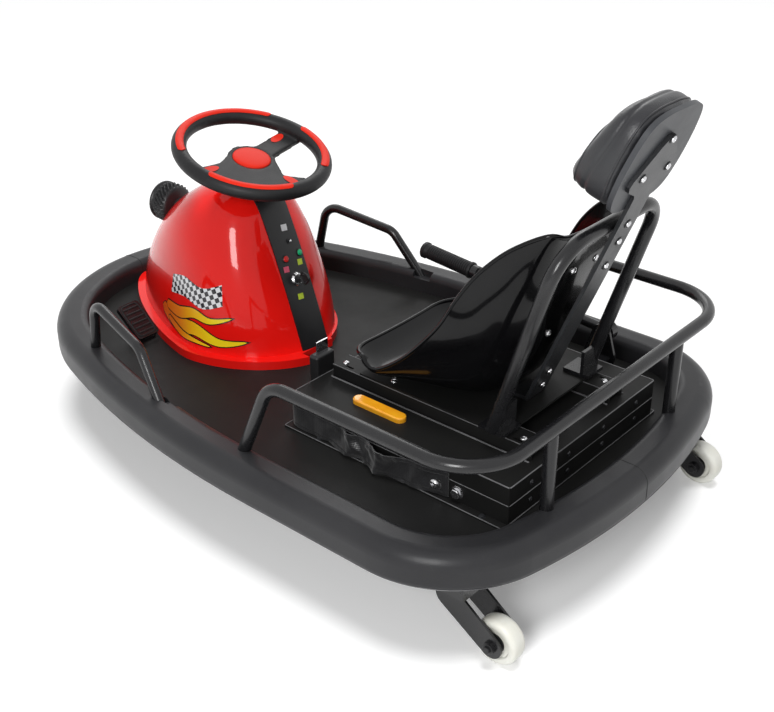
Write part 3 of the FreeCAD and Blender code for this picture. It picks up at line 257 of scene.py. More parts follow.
def soften(piece, voxel, rounds):
    # an even mesh with its corners rounded off
    remesh = piece.modifiers.new("even", "REMESH")
    remesh.mode = "VOXEL"
    remesh.voxel_size = voxel
    settle = piece.modifiers.new("settle", "SMOOTH")
    settle.iterations = rounds
    applyModifiers(piece)


def cutLoops(piece, point, normal, weld=0):
    # the lines where a plane meets the piece
    cut = bmesh.new()
    cut.from_mesh(piece.data)
    if weld:
        bmesh.ops.remove_doubles(cut, verts=cut.verts, dist=weld)
    found = bmesh.ops.bisect_plane(cut, geom=cut.verts[:] + cut.edges[:] + cut.faces[:],
                                   plane_co=point, plane_no=normal)["geom_cut"]
    links = {}
    for e in found:
        if isinstance(e, bmesh.types.BMEdge):
            a, b = e.verts
            links.setdefault(a, []).append(b)
            links.setdefault(b, []).append(a)
    loops, seen = [], set()
    for start in links:
        line, onward = [], [] if start in seen else [start]
        while onward:
            line.append(onward[0])
            seen.add(onward[0])
            onward = [v for v in links[line[-1]] if v not in seen]
        if line:
            loops.append([v.co.copy() for v in line])
    cut.free()
    return loops


# materials

surfaces = {}
white = (1, 1, 1, 1)
plainLook = dict(roughness=0.36, uneven=0.08, glossScale=26, metallic=0, ior=1.46, specular=0.5, coat=0,
                 coatRoughness=0.04, sheen=0, patchScale=9, grainScale=500, grainDepth=0.00004,
                 grainKind="noise", scuffs=(), stripes=())


def addNode(tree, kind, inputs, **settings):
    # a shader node with its settings, and a socket or a plain value for each input
    made = tree.nodes.new(kind)
    for setting, value in settings.items():
        setattr(made, setting, value)
    for socket, value in inputs.items():
        if isinstance(value, bpy.types.NodeSocket):
            tree.links.new(value, made.inputs[socket])
        else:
            made.inputs[socket].default_value = value
    return made


class Paint:
    # a Principled material with patchy colour, uneven gloss and a fine relief
    def __init__(self, name, given):
        look = {**plainLook, **given}
        self.material = bpy.data.materials.new(name)
        self.material.use_nodes = True
        self.tree = self.material.node_tree
        self.tree.nodes.clear()
        self.relief = None
        self.where = self.node("ShaderNodeTexCoord", {}).outputs["Object"]
        self.shader = self.node("ShaderNodeBsdfPrincipled", {
            "Metallic": look["metallic"], "IOR": look["ior"], "Specular IOR Level": look["specular"],
            "Coat Weight": look["coat"], "Coat Roughness": look["coatRoughness"],
            "Sheen Weight": look["sheen"]})
        self.out = self.node("ShaderNodeOutputMaterial", {0: self.shader.outputs[0]})
        patches = self.noise(look["patchScale"], 4)
        self.repaint(self.ramp(patches, [(0.35, look["colour"]), (0.68, look.get("patch", look["colour"]))]))
        rough, uneven = look["roughness"], look["uneven"]
        gloss = self.noise(look["glossScale"], 5, 0.6)
        self.join(self.spread(gloss, max(rough - uneven, 0.01), rough + uneven), "Roughness")
        self.grain(look["grainScale"], look["grainDepth"], look["grainKind"])
        for line in look["stripes"]:
            self.stripes(*line)
        if look["scuffs"]:
            self.wear(*look["scuffs"])
        surfaces[name] = self.material

    def node(self, kind, inputs, **settings):
        return addNode(self.tree, kind, inputs, **settings)

    def join(self, source, socket):
        self.tree.links.new(source, self.shader.inputs[socket])

    def noise(self, scale, detail, rough=0.55, source=None):
        inputs = {"Vector": source or self.where, "Scale": scale, "Detail": detail, "Roughness": rough}
        return self.node("ShaderNodeTexNoise", inputs).outputs["Fac"]

    def ramp(self, source, stops):
        made = self.node("ShaderNodeValToRGB", {"Fac": source})
        bar = made.color_ramp
        while len(bar.elements) < len(stops):
            bar.elements.new(0.5)
        for element, (place, colour) in zip(bar.elements, stops):
            element.position = place
            element.color = (*colour, 1)
        return made.outputs["Color"]

    def repaint(self, colour):
        self.base = colour
        self.join(colour, "Base Color")

    def spread(self, source, low, high, fromLow=0, fromHigh=1):
        inputs = {"Value": source, "From Min": fromLow, "From Max": fromHigh, "To Min": low, "To Max": high}
        return self.node("ShaderNodeMapRange", inputs).outputs["Result"]

    def bump(self, height, depth):
        inputs = {"Height": height, "Distance": depth, "Strength": 1}
        if self.relief is not None:
            inputs["Normal"] = self.relief
        self.relief = self.node("ShaderNodeBump", inputs).outputs["Normal"]
        self.join(self.relief, "Normal")

    def grain(self, scale, depth, kind):
        if kind == "cells":
            cells = self.node("ShaderNodeTexVoronoi", {"Vector": self.where, "Scale": scale},
                              feature="SMOOTH_F1")
            self.bump(cells.outputs["Distance"], depth)
        else:
            self.bump(self.noise(scale, 2), depth)

    def stripes(self, direction, scale, depth):
        # fine parallel lines in relief
        inputs = {"Vector": self.where, "Scale": scale, "Distortion": 0.3}
        wave = self.node("ShaderNodeTexWave", inputs, bands_direction=direction, wave_profile="SIN")
        self.bump(wave.outputs["Fac"], depth)

    def wear(self, colour, amount, stretch):
        # light scuffs drawn out along one direction
        drawn = self.node("ShaderNodeMapping", {"Vector": self.where, "Scale": stretch}).outputs["Vector"]
        share = self.spread(self.noise(6, 6, 0.7, drawn), 0, amount, 0.62, 0.78)
        highlightEdges = self.node("ShaderNodeMix", {0: share, 6: self.base, 7: (*colour, 1)}, data_type="RGBA")
        self.repaint(highlightEdges.outputs[2])


looks = {
    "bumperPlastic": dict(
        colour=(0.020, 0.020, 0.022), patch=(0.028, 0.028, 0.030), patchScale=6, uneven=0.07, grainScale=620,
        grainDepth=0.00014, grainKind="cells", specular=0.28,
        scuffs=((0.075, 0.075, 0.078), 0.35, (14, 90, 14))),
    "deckPaint": dict(
        colour=(0.010, 0.010, 0.010), patch=(0.014, 0.014, 0.0135), patchScale=5, roughness=0.44,
        grainScale=1300, grainDepth=0.00008, specular=0.13, scuffs=((0.035, 0.035, 0.034), 0.3, (40, 9, 20))),
    "framePaint": dict(
        colour=(0.009, 0.009, 0.010), patch=(0.014, 0.014, 0.015), roughness=0.3, grainScale=420,
        grainDepth=0.00008, specular=0.35, scuffs=((0.05, 0.05, 0.05), 0.4, (60, 12, 30))),
    "tubePaint": dict(
        colour=(0.007, 0.007, 0.008), patch=(0.012, 0.012, 0.013), roughness=0.26, uneven=0.06,
        grainScale=520, coat=0.1, coatRoughness=0.15, specular=0.45,
        scuffs=((0.06, 0.06, 0.06), 0.35, (20, 20, 120))),
    "redShell": dict(
        colour=(0.86, 0.009, 0.006), patch=(0.90, 0.011, 0.008), patchScale=4, roughness=0.2, uneven=0.04,
        grainScale=90, grainDepth=0.00003, coat=0.45, coatRoughness=0.02, specular=0.08),
    "blackTrim": dict(
        colour=(0.010, 0.010, 0.011), patch=(0.017, 0.017, 0.018), uneven=0.07, grainScale=700,
        grainDepth=0.00006, specular=0.4),
    "seatPlastic": dict(
        colour=(0.003, 0.003, 0.0034), patch=(0.0045, 0.0045, 0.005), patchScale=5, roughness=0.2,
        uneven=0.05, grainScale=70, coat=0.35, coatRoughness=0.07, specular=0.05,
        scuffs=((0.02, 0.02, 0.022), 0.3, (12, 40, 30))),
    "leatherette": dict(
        colour=(0.018, 0.018, 0.021), patch=(0.028, 0.029, 0.032), patchScale=14, grainScale=520,
        grainDepth=0.00022, grainKind="cells", sheen=0.05),
    "greyBoard": dict(
        colour=(0.038, 0.040, 0.045), patch=(0.052, 0.055, 0.061), roughness=0.42, grainScale=400,
        grainDepth=0.00010),
    "strapSteel": dict(
        colour=(0.018, 0.019, 0.021), patch=(0.030, 0.031, 0.034), patchScale=18, roughness=0.34,
        metallic=0.3, grainDepth=0.00008, stripes=[("Z", 260, 0.00004)]),
    "webbing": dict(
        colour=(0.008, 0.008, 0.009), patch=(0.018, 0.018, 0.020), patchScale=30, roughness=0.34,
        grainScale=900, grainDepth=0.00010, sheen=0.25, specular=0.8,
        stripes=[("Z", 115, 0.00014), ("X", 75, 0.00008)]),
    "brightSteel": dict(
        colour=(0.62, 0.62, 0.64), patch=(0.74, 0.74, 0.75), roughness=0.2, uneven=0.07, metallic=1,
        grainScale=300),
    "gripRubber": dict(
        colour=(0.011, 0.011, 0.012), patch=(0.018, 0.018, 0.019), roughness=0.46, grainScale=760,
        grainDepth=0.00014, grainKind="cells", specular=0.3),
    "redTrim": dict(
        colour=(0.76, 0.026, 0.012), patch=(0.82, 0.036, 0.018), roughness=0.42, uneven=0.06, grainScale=800,
        grainDepth=0.00006, specular=0.15),
    "tyreRubber": dict(
        colour=(0.020, 0.020, 0.020), patch=(0.032, 0.031, 0.030), roughness=0.75, uneven=0.1,
        grainDepth=0.00015, scuffs=((0.07, 0.068, 0.064), 0.5, (40, 10, 40))),
    "motorAlloy": dict(
        colour=(0.42, 0.42, 0.44), patch=(0.52, 0.52, 0.54), metallic=1, grainScale=600, grainDepth=0.00005,
        stripes=[("Y", 300, 0.00005)]),
    "whiteWheel": dict(
        colour=(0.80, 0.80, 0.74), patch=(0.74, 0.73, 0.65), patchScale=30, uneven=0.07, grainScale=420,
        grainDepth=0.00006, scuffs=((0.42, 0.40, 0.35), 0.4, (30, 60, 30))),
    "amberLens": dict(
        colour=(0.92, 0.36, 0.012), patch=(0.98, 0.46, 0.02), patchScale=40, roughness=0.2, uneven=0.05,
        grainScale=300, grainDepth=0.00006, coat=0.5),
    "clearLens": dict(
        colour=(0.86, 0.88, 0.9), patch=(0.92, 0.93, 0.94), roughness=0.06, uneven=0.02, grainScale=200),
    "keyMetal": dict(
        colour=(0.60, 0.60, 0.62), patch=(0.70, 0.70, 0.71), roughness=0.16, uneven=0.06, metallic=1,
        grainScale=420, grainDepth=0.00003),
    "batteryCase": dict(
        colour=(0.035, 0.035, 0.036), patch=(0.05, 0.05, 0.05), roughness=0.5, grainDepth=0.0001),
    "greenButton": dict(colour=(0.0, 0.42, 0.16), patch=(0.01, 0.50, 0.2), roughness=0.3, uneven=0.05),
    "redButton": dict(colour=(0.62, 0.012, 0.012), patch=(0.70, 0.02, 0.016), roughness=0.3, uneven=0.05),
    "whiteSticker": dict(
        colour=(0.72, 0.72, 0.74), patch=(0.80, 0.80, 0.81), patchScale=120, roughness=0.4, uneven=0.05,
        grainScale=900, grainDepth=0.00003),
    "pinkSticker": dict(
        colour=(0.72, 0.08, 0.16), patch=(0.80, 0.13, 0.21), patchScale=160, roughness=0.4, uneven=0.05,
        grainScale=900, grainDepth=0.00003),
    "limeSticker": dict(
        colour=(0.50, 0.66, 0.02), patch=(0.62, 0.76, 0.06), patchScale=160, roughness=0.4, uneven=0.05,
        grainScale=900, grainDepth=0.00003),
    "blackInk": dict(
        colour=(0.008, 0.007, 0.007), patch=(0.014, 0.012, 0.012), roughness=0.2, uneven=0.04, grainScale=700,
        grainDepth=0.00002, coat=0.5),
    "checkInk": dict(
        colour=(0.8, 0.8, 0.82), roughness=0.2, uneven=0.04, grainScale=700, grainDepth=0.00002, coat=0.5),
    "flameInk": dict(
        colour=(0.9, 0.3, 0.02), roughness=0.2, uneven=0.04, grainScale=700, grainDepth=0.00002, coat=0.5),
    "darkSeam": dict(
        colour=(0.004, 0.004, 0.004), patch=(0.007, 0.007, 0.007), roughness=0.6, grainScale=600),
    # pale grey for the thin beads on the ring's lower edge and on the box and slide edges: painted highlight where
    # those edges catch the light
    "paintedHighlightGrey": dict(
        colour=(0.11, 0.11, 0.115), patch=(0.17, 0.17, 0.175), patchScale=20, grainScale=600,
        grainDepth=0.00006),
    "studioFloor": dict(
        colour=(0.92, 0.92, 0.92), patch=(0.94, 0.94, 0.94), patchScale=0.7, roughness=0.7, uneven=0.05,
        grainScale=40, grainDepth=0.00002, specular=0.1),
}
paints = {name: Paint(name, look) for name, look in looks.items()}

ink = dict(checkSize=0.0085, checkLean=-28, checkShift=0.001, checkPale=(0.82, 0.82, 0.84, 1),
           checkDark=(0.006, 0.006, 0.012, 1), flameRun=(0.15, 0.42),
           flameStops=[(0.05, (0.86, 0.035, 0.006)), (0.5, (0.95, 0.24, 0.008)), (0.85, (1.0, 0.78, 0.015))])


def printPatterns():
    checks, flames = paints["checkInk"], paints["flameInk"]
    lean = checks.node("ShaderNodeMapping", {
        "Vector": checks.where, "Rotation": (0, math.radians(ink["checkLean"]), 0), "Scale": (1, 0, 1),
        "Location": (0, ink["checkShift"], 0)})
    squares = checks.node("ShaderNodeTexChecker", {
        "Vector": lean.outputs["Vector"], "Scale": 1 / ink["checkSize"], "Color1": ink["checkPale"],
        "Color2": ink["checkDark"]})
    checks.repaint(squares.outputs["Color"])
    apart = flames.node("ShaderNodeSeparateXYZ", {0: flames.where})
    along = flames.spread(apart.outputs["X"], 1, 0, *ink["flameRun"])
    flames.repaint(flames.ramp(along, ink["flameStops"]))


printPatterns()

slotSurfaces = {
    "bumper_plastic": "bumperPlastic", "black_sheet_metal": "deckPaint", "black_tube": "tubePaint",
    "red_shroud": "redShell", "black_trim": "blackTrim", "seat_plastic": "seatPlastic",
    "pad_leatherette": "leatherette", "grey_board": "greyBoard", "belt_webbing": "webbing",
    "bright_steel": "brightSteel", "wheel_grip_rubber": "gripRubber", "red_trim": "redTrim",
    "tyre_rubber": "tyreRubber", "motor_aluminium": "motorAlloy", "white_wheel": "whiteWheel",
    "amber_lens": "amberLens", "clear_lens": "clearLens", "key_metal": "keyMetal",
    "battery_case": "batteryCase",
}
ownSurface = {"headrest_strap": "strapSteel"}  # nodes painted unlike the rest of their slot

slotOf = {part["node"]: part["material_slot"] for part in frame["record"]["subparts"]}
for name, node in solids.items():
    node.data.materials.clear()
    node.data.materials.append(surfaces[ownSurface.get(name) or slotSurfaces[slotOf[name]]])
print("solids painted")

turning = {joint["name"]: (Vector(joint["pos_m"]), Vector(joint["axis"])) for joint in frame["joints"]}
patch = dict(cell=0.004, rounds=7, start=0.3, back=0.0001)


def patchShape(outline, spot, tree, toward, lift):
    # a thin sheet with that outline, laid on a surface; spot turns an outline point into a place
    cut = bmesh.new()
    cut.faces.new([cut.verts.new(spot(a, b)) for a, b in outline])
    bmesh.ops.triangulate(cut, faces=cut.faces[:])
    for _ in range(patch["rounds"]):
        far = [e for e in cut.edges if e.calc_length() > patch["cell"]]
        if not far:
            break
        bmesh.ops.subdivide_edges(cut, edges=far, cuts=1)
        bmesh.ops.triangulate(cut, faces=cut.faces[:])
        bmesh.ops.beautify_fill(cut, faces=cut.faces[:], edges=cut.edges[:])
    toward = Vector(toward).normalized()
    for v in cut.verts:
        met, normal, _, _ = tree.ray_cast(v.co - toward * patch["start"], toward)
        if met is not None:
            outward = normal if normal.dot(toward) < 0 else -normal
            v.co = met - toward * patch["back"] + outward * lift
    shape = [v.co.copy() for v in cut.verts], [tuple(v.index for v in f.verts) for f in cut.faces]
    cut.free()
    return shape


# bumper ring and deck

ring = dict(weld=0.00001, lipHeight=0.1385, lipRadius=0.0016, lipFlatten=0.6, lipStep=0.012, seamY=0.0001,
            seamRadius=0.0007, seamStep=0.003)
deck = dict(screwRadius=0.0045, screwInset=0.028, screwGap=0.18125, wallLift=0.004, beadDrop=0.0032,
            beadStep=0.014, beadRadius=0.0022)


def ringLoops(point, normal):
    return cutLoops(solids["bumper_ring"], point, normal, ring["weld"])


def foremost(line):
    return max(p.x for p in line)


def buildRingTrim():
    outer = max(ringLoops((0, 0, ring["lipHeight"]), axisZ), key=foremost)
    # a pale bead round the ring's lower edge: painted highlight along the bottom lip
    lip = sweepShape(evenPath(outer, ring["lipStep"], True), ring["lipRadius"], 8, True,
                     ring["lipFlatten"], axisZ)
    addMesh("ringLipHighlight", [lip], "paintedHighlightGrey")
    seams = [sweepShape(evenPath(loop, ring["seamStep"], True), ring["seamRadius"], 6, True)
             for loop in ringLoops((0, ring["seamY"], 0), axisY)]
    addMesh("ringSeams", seams, "darkSeam")
    print("ring trimmed")


def buildDeckTrim():
    floorTree = surfaceTree(solids["deck_plate"])
    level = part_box("deck_plate")[1].z
    wall = min(ringLoops((0, 0, level + deck["wallLift"]), axisZ), key=foremost)
    screws = []
    for p in evenPath(wall, deck["screwGap"], True):
        spot = p - Vector((p.x, p.y, 0)).normalized() * deck["screwInset"]
        spot.z = level
        if floorTree.ray_cast(spot + axisZ * 0.05, -axisZ)[0] is not None:
            screws.append(domeBolt(spot, axisZ, deck["screwRadius"], 0.3))
    addMesh("deckScrews", screws, "strapSteel")
    low = [p - axisZ * deck["beadDrop"] for p in wall]
    bead = sweepShape(evenPath(low, deck["beadStep"], True), deck["beadRadius"], 8, True)
    addMesh("deckSealant", [bead], "blackTrim")
    print("deck trimmed")


buildRingTrim()
buildDeckTrim()


# shroud: decals, stickers, buttons and key

art = dict(
    checkLow=[(0.318, 0.247), (0.268, 0.256), (0.218, 0.248), (0.176, 0.262)],
    checkHigh=[(0.182, 0.300), (0.222, 0.286), (0.270, 0.294), (0.312, 0.284)],
    licks=[  # each: centre line of a tongue from root to tip in X and Z, and its half width at the root
        ([(0.348, 0.206), (0.290, 0.196), (0.235, 0.205), (0.180, 0.192), (0.132, 0.198)], 0.019),
        ([(0.330, 0.219), (0.285, 0.221), (0.240, 0.234), (0.200, 0.229), (0.158, 0.241)], 0.014),
        ([(0.322, 0.196), (0.275, 0.185), (0.232, 0.184), (0.196, 0.181)], 0.008),
    ],
    outlineWidth=0.0022, taper=0.7, neck=0.45, swell=(2.2, 0.12), lift=0.0003, liftStep=0.0004, startY=0.35,
)
strip = dict(
    # Y and Z of what is on the control strip; width and height of the stickers
    stickers=[("whiteSticker", "whiteSticker", [((-0.006, 0.380), (0.014, 0.011))]),
              ("pinkSticker", "pinkSticker", [((0.018, 0.313), (0.012, 0.010))]),
              ("limeStickers", "limeSticker", [((-0.018, 0.316), (0.012, 0.010)),
                                               ((0.004, 0.261), (0.013, 0.010))])],
    stickerLean=0.12, toggle=(-0.007, 0.356), green=(-0.023, 0.331), red=(0.013, 0.330), key=(0.001, 0.291),
    startX=-0.2,
    bezel=[(-0.001, 0.0072), (0.0012, 0.0072), (0.002, 0.0062), (0.001, 0.0056)],
    cap=[(0, 0.0056), (0.0026, 0.0056), (0.0036, 0.00448), (0.004, 0.00168)],
    toggleNut=[(-0.001, 0.0046), (0.0016, 0.0046), (0.0018, 0.0030), (0.0008, 0.0028)],
    toggleKnob=[(0, 0.0022), (0.004, 0.0020), (0.0052, 0.0024), (0.0062, 0.0012)],
)
ignition = dict(
    collar=[(-0.001, 0.0125), (0.0015, 0.0125), (0.003, 0.0112), (0.0045, 0.0100), (0.0048, 0.0086),
            (0.0036, 0.0078)],
    plug=[(0.0, 0.0078), (0.0048, 0.0076), (0.0056, 0.0062)], blade=[(0.005, 0.0030), (0.013, 0.0028)],
    bowOut=0.022, bowRadius=0.0098, bowLobe=0.0012, bowSquash=0.95, bowSteps=28, bowWire=0.0021,
    webShare=0.72, webHalf=0.0014,
)


def tongue(centre, half, grow):
    # the outline of a flame tongue
    line = smoothPath([(x, 0, z) for x, z in centre], 8)
    count = len(line) - 1
    speed, early = art["swell"]
    left, right = [], []
    for i, p in enumerate(line[:-1]):
        t = i / count
        run = (line[i + 1] - line[max(i - 1, 0)]).normalized()
        rise = math.sin(math.pi * min(1, t * speed + early) / 2)
        wide = half * (1 - t) ** art["taper"] * (art["neck"] + (1 - art["neck"]) * rise) + grow
        left.append((p.x - run.z * wide, p.z + run.x * wide))
        right.append((p.x + run.z * wide, p.z - run.x * wide))
    tip = line[-1] + (line[-1] - line[-2]).normalized() * grow * 2.5
    back = line[0] - (line[1] - line[0]).normalized() * (half * 0.4 + grow)
    return left + [(tip.x, tip.z)] + right[::-1] + [(back.x, back.z)]


def buildShroudArt():
    shell = surfaceTree(solids["front_shroud"])
    band = [smoothPath([(x, 0, z) for x, z in art[edge]], 6) for edge in ("checkLow", "checkHigh")]
    flag = [(p.x, p.z) for p in band[0] + band[1]]
    for side, sideName in ((1, "Left"), (-1, "Right")):
        def lay(outline, lift, side=side):
            return patchShape(outline, lambda a, b: Vector((a, side * art["startY"], b)), shell,
                              axisY * -side, lift)

        addMesh("checkBand" + sideName, [lay(flag, 0.0004)], "checkInk")
        dark, bright = [], []
        for level, (centre, half) in enumerate(art["licks"]):
            lift = art["lift"] + level * art["liftStep"]
            dark.append(lay(tongue(centre, half, art["outlineWidth"]), lift))
            bright.append(lay(tongue(centre, half, 0), lift + 0.0002))
        addMesh("flameEdge" + sideName, dark, "blackInk")
        addMesh("flame" + sideName, bright, "flameInk")
    print("shroud decorated")


def sticker(tree, place, size):
    (y, z), (wide, tall) = place, size
    c, s = math.cos(strip["stickerLean"]), math.sin(strip["stickerLean"])
    corners = ((-wide / 2, -tall / 2), (wide / 2, -tall / 2), (wide / 2, tall / 2), (-wide / 2, tall / 2))
    outline = [(a * c - b * s, a * s + b * c) for a, b in corners]
    return patchShape(outline, lambda a, b: Vector((0, y + a, z + b)), tree, axisX, 0.0003)


def buildStrip():
    face = surfaceTree(solids["control_strip"])
    for name, surface, places in strip["stickers"]:
        addMesh(name, [sticker(face, *place) for place in places], surface)
    bezels, caps = [], []
    for name in ("green", "red"):
        met, out = meetForward(face, strip["startX"], *strip[name])
        bezels.append(latheShape(strip["bezel"], met, out, 28))
        caps.append(latheShape(strip["cap"], met, out, 28))
    met, out = meetForward(face, strip["startX"], *strip["toggle"])
    bezels.append(latheShape(strip["toggleNut"], met, out, 24))
    first = addMesh("buttonBezels", bezels, "blackTrim")
    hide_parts("strip_buttons")
    addMesh("greenButton", caps[:1], "greenButton")
    addMesh("redButton", caps[1:], "redButton")
    addMesh("toggleKnob", [latheShape(strip["toggleKnob"], met, out, 16)], "brightSteel")
    print("strip fitted")


def buildKey():
    met, out = meetForward(surfaceTree(solids["control_strip"]), strip["startX"], *strip["key"])
    made = addMesh("keyCollar", [latheShape(ignition["collar"], met, out, 40)], "keyMetal")
    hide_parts("key_switch")
    addMesh("keyPlug", [latheShape(ignition["plug"], met, out, 28)], "blackTrim")
    addMesh("keyBlade", [latheShape(ignition["blade"], met, out, 4)], "keyMetal")
    d, side, up = frameAt(out)
    centre = met + d * ignition["bowOut"]
    count = ignition["bowSteps"]
    bow = []
    for turn in turns(count):
        reach = ignition["bowRadius"] + ignition["bowLobe"] * math.cos(3 * turn)
        bow.append(centre + d * math.cos(turn) * reach * ignition["bowSquash"] + up * math.sin(turn) * reach)
    core = [(p - centre) * ignition["webShare"] + centre for p in bow]
    half = side * ignition["webHalf"]
    web = [p + half for p in core] + [p - half for p in core], ringFaces(2, count)
    addMesh("keyBow", [sweepShape(bow, ignition["bowWire"], 10, True), web], "blackTrim")
    print("key in")


buildShroudArt()
buildStrip()
buildKey()


# steering wheel

wheel = dict(voxel=0.0024, settle=14, ovals=((0.027, -0.090), (0.008, 0.093), (-0.093, -0.009)),
             ovalHalf=0.0085, ovalWide=2.2, ovalLift=0.0007, hubHeight=0.5064, capSink=0.0125,
             cap=[(0, 0.0345), (0.0032, 0.0345), (0.0044, 0.0338), (0.0052, 0.0320), (0.0060, 0.026),
                  (0.0066, 0.016), (0.0069, 0.006)])
gripBand = dict(arcs=((-58, 124), (101, 67), (-149, 62)), ring=0.130, grip=0.014, halfAngle=29, stand=0.0013,
                endRound=0.007, columns=10)


def wheelPlace():
    joint, axis = turning["steering_wheel_turn"]
    hub = joint + axis * ((wheel["hubHeight"] - joint.z) / axis.z)
    return hub, Vector((axis.z, 0, -axis.x)), axis


def buildSteeringWheel():
    rim = copyNode("steering_wheel", "wheelRim")
    soften(rim, wheel["voxel"], wheel["settle"])
    finishPiece(rim, "gripRubber", "steering_wheel_and_column")
    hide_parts("steering_wheel")
    tree = surfaceTree(rim)
    hub, front, axis = wheelPlace()
    flat = [(math.cos(turn) * wheel["ovalHalf"] * wheel["ovalWide"], math.sin(turn) * wheel["ovalHalf"])
            for turn in turns(28)]
    ovals = []
    for a, b in wheel["ovals"]:
        outward = math.atan2(b, a)
        c, s = math.cos(outward), math.sin(outward)
        turned = [(a + u * c - v * s, b + u * s + v * c) for u, v in flat]
        ovals.append(patchShape(turned, lambda x, y: hub + front * x + axisY * y, tree, -axis,
                                wheel["ovalLift"]))
    addMesh("spokeOvals", ovals, "redTrim", "steering_wheel_and_column")
    cap = latheShape(wheel["cap"], hub - axis * wheel["capSink"], axis, 64)
    made = addMesh("hubCap", [cap], "redTrim", "steering_wheel_and_column")
    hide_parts("wheel_cap")
    print("steering wheel shaped:", len(rim.data.polygons), "faces")


def buildGripBand():
    # three narrow bands let into the top of the grip, each with rounded ends
    hub, front, axis = wheelPlace()
    columns, shapes = gripBand["columns"], []
    for start, sweep in gripBand["arcs"]:
        verts = []
        for layer in (0, 1):
            for i in range(sweep + 1):
                turn = math.radians(start + i)
                outward = front * math.cos(turn) + axisY * math.sin(turn)
                fromEnd = min(i, sweep - i) * math.radians(1) * gripBand["ring"]
                short = max(0, 1 - fromEnd / gripBand["endRound"])
                fullness = math.sqrt(max(0.03, 1 - short * short))
                for k in range(columns + 1):
                    across = 2 * k / columns - 1
                    lean = math.radians(gripBand["halfAngle"]) * across * fullness
                    reach = gripBand["grip"] + gripBand["stand"] * (1 - 0.5 * abs(across) ** 6) * layer
                    verts.append(hub + outward * (gripBand["ring"] + math.sin(lean) * reach)
                                 + axis * math.cos(lean) * reach)
        shapes.append((verts, slabFaces(sweep, columns)[0]))
    made = addMesh("gripStrips", shapes, "redTrim", "steering_wheel_and_column")
    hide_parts("wheel_grip_strips")


buildSteeringWheel()
buildGripBand()


# headlamp

lamp = dict(ribs=26, ribDepth=0.0019, slant=540, sharpness=4, steps=208, ribbed=(0.34, 0.86),
            ribFade=(0.08, 0.06), thin=0.003, stem=[(0.22, 0.015)], shoulder=[(0.27, 0.82), (0.31, 0.96)],
            # back from the front edge, and in from the full radius
            lip=[(0.001, 0), (0, 0.001), (0, 0.0045), (0.0025, 0.0052), (0.0085, 0.0055)],
            well=[(0.0085, 0.0335), (0.0100, 0.030)],
            bowlBack=0.0086, bowlDeep=0.009, bowlReach=(0.004, 0.0275))


def buildHeadlamp():
    low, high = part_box("headlamp_housing")
    radius = (high.y - low.y) / 2
    middle = Vector((low.x, 0, (low.z + high.z) / 2))
    depth = high.x - low.x
    body = radius - lamp["thin"]
    first, last = lamp["ribbed"]

    def ribs(along, turn):
        fadeIn, fadeOut = lamp["ribFade"]
        share = min(1, max(0, (along - depth * first) / (depth * fadeIn)))
        share *= min(1, max(0, (depth * last - along) / (depth * fadeOut)))
        wave = math.sin(lamp["ribs"] * turn + along * lamp["slant"])
        return share * lamp["ribDepth"] * (1 + math.tanh(lamp["sharpness"] * wave))

    profile = [(0.001, 0.013)] + [(depth * a, b) for a, b in lamp["stem"]]
    profile += [(depth * a, body * b) for a, b in lamp["shoulder"]]
    profile += [(depth * (first + (last - first) * k / 12), body) for k in range(13)]
    profile += [(depth * 0.90, body + 0.001), (depth * 0.93, radius)]
    profile += [(depth - a, radius - b) for a, b in lamp["lip"]]
    profile += [(depth - a, b) for a, b in lamp["well"]]
    shell = latheShape(profile, middle, axisX, lamp["steps"], ribs)
    made = addMesh("lampHousing", [shell], "blackTrim")
    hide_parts("headlamp_housing")
    floor, reach = lamp["bowlReach"]
    bowl = [(depth - lamp["bowlBack"] - lamp["bowlDeep"] * (1 - (k / 8) ** 2), floor + reach * k / 8)
            for k in range(8, -1, -1)]
    addMesh("lampBowl", [latheShape(bowl, middle, axisX, 48)], "brightSteel")
    print("headlamp built")


buildHeadlamp()


# seat

seat = dict(
    # bottom point and rim point in X and Z, and half width, from the front lip to the top
    stations=[(-0.132, 0.276, -0.128, 0.292, 0.140), (-0.160, 0.262, -0.157, 0.282, 0.147),
              (-0.208, 0.252, -0.203, 0.281, 0.149), (-0.270, 0.2496, -0.257, 0.318, 0.151),
              (-0.330, 0.250, -0.303, 0.366, 0.153), (-0.375, 0.262, -0.337, 0.409, 0.154),
              (-0.410, 0.294, -0.362, 0.455, 0.152), (-0.437, 0.350, -0.390, 0.500, 0.142),
              (-0.460, 0.415, -0.426, 0.539, 0.130), (-0.480, 0.480, -0.462, 0.565, 0.121),
              (-0.494, 0.536, -0.488, 0.579, 0.113), (-0.501, 0.563, -0.498, 0.580, 0.104)],
    wall=0.005, rowsPerStation=7, columns=48, flank=0.8, belly=0.9, rimRadius=0.0036, rimStep=0.006,
    cornerRadius=0.055, cornerFade=2.2, recessZ=0.452, recessHalfZ=0.082, recessHalfY=0.056,
    recessDepth=0.0045, recessEdge=(1.25, 0.35), boltRadius=0.0062,
    bolts=[(0.030, 0.497), (-0.030, 0.497), (0.030, 0.383), (-0.030, 0.383)],
)


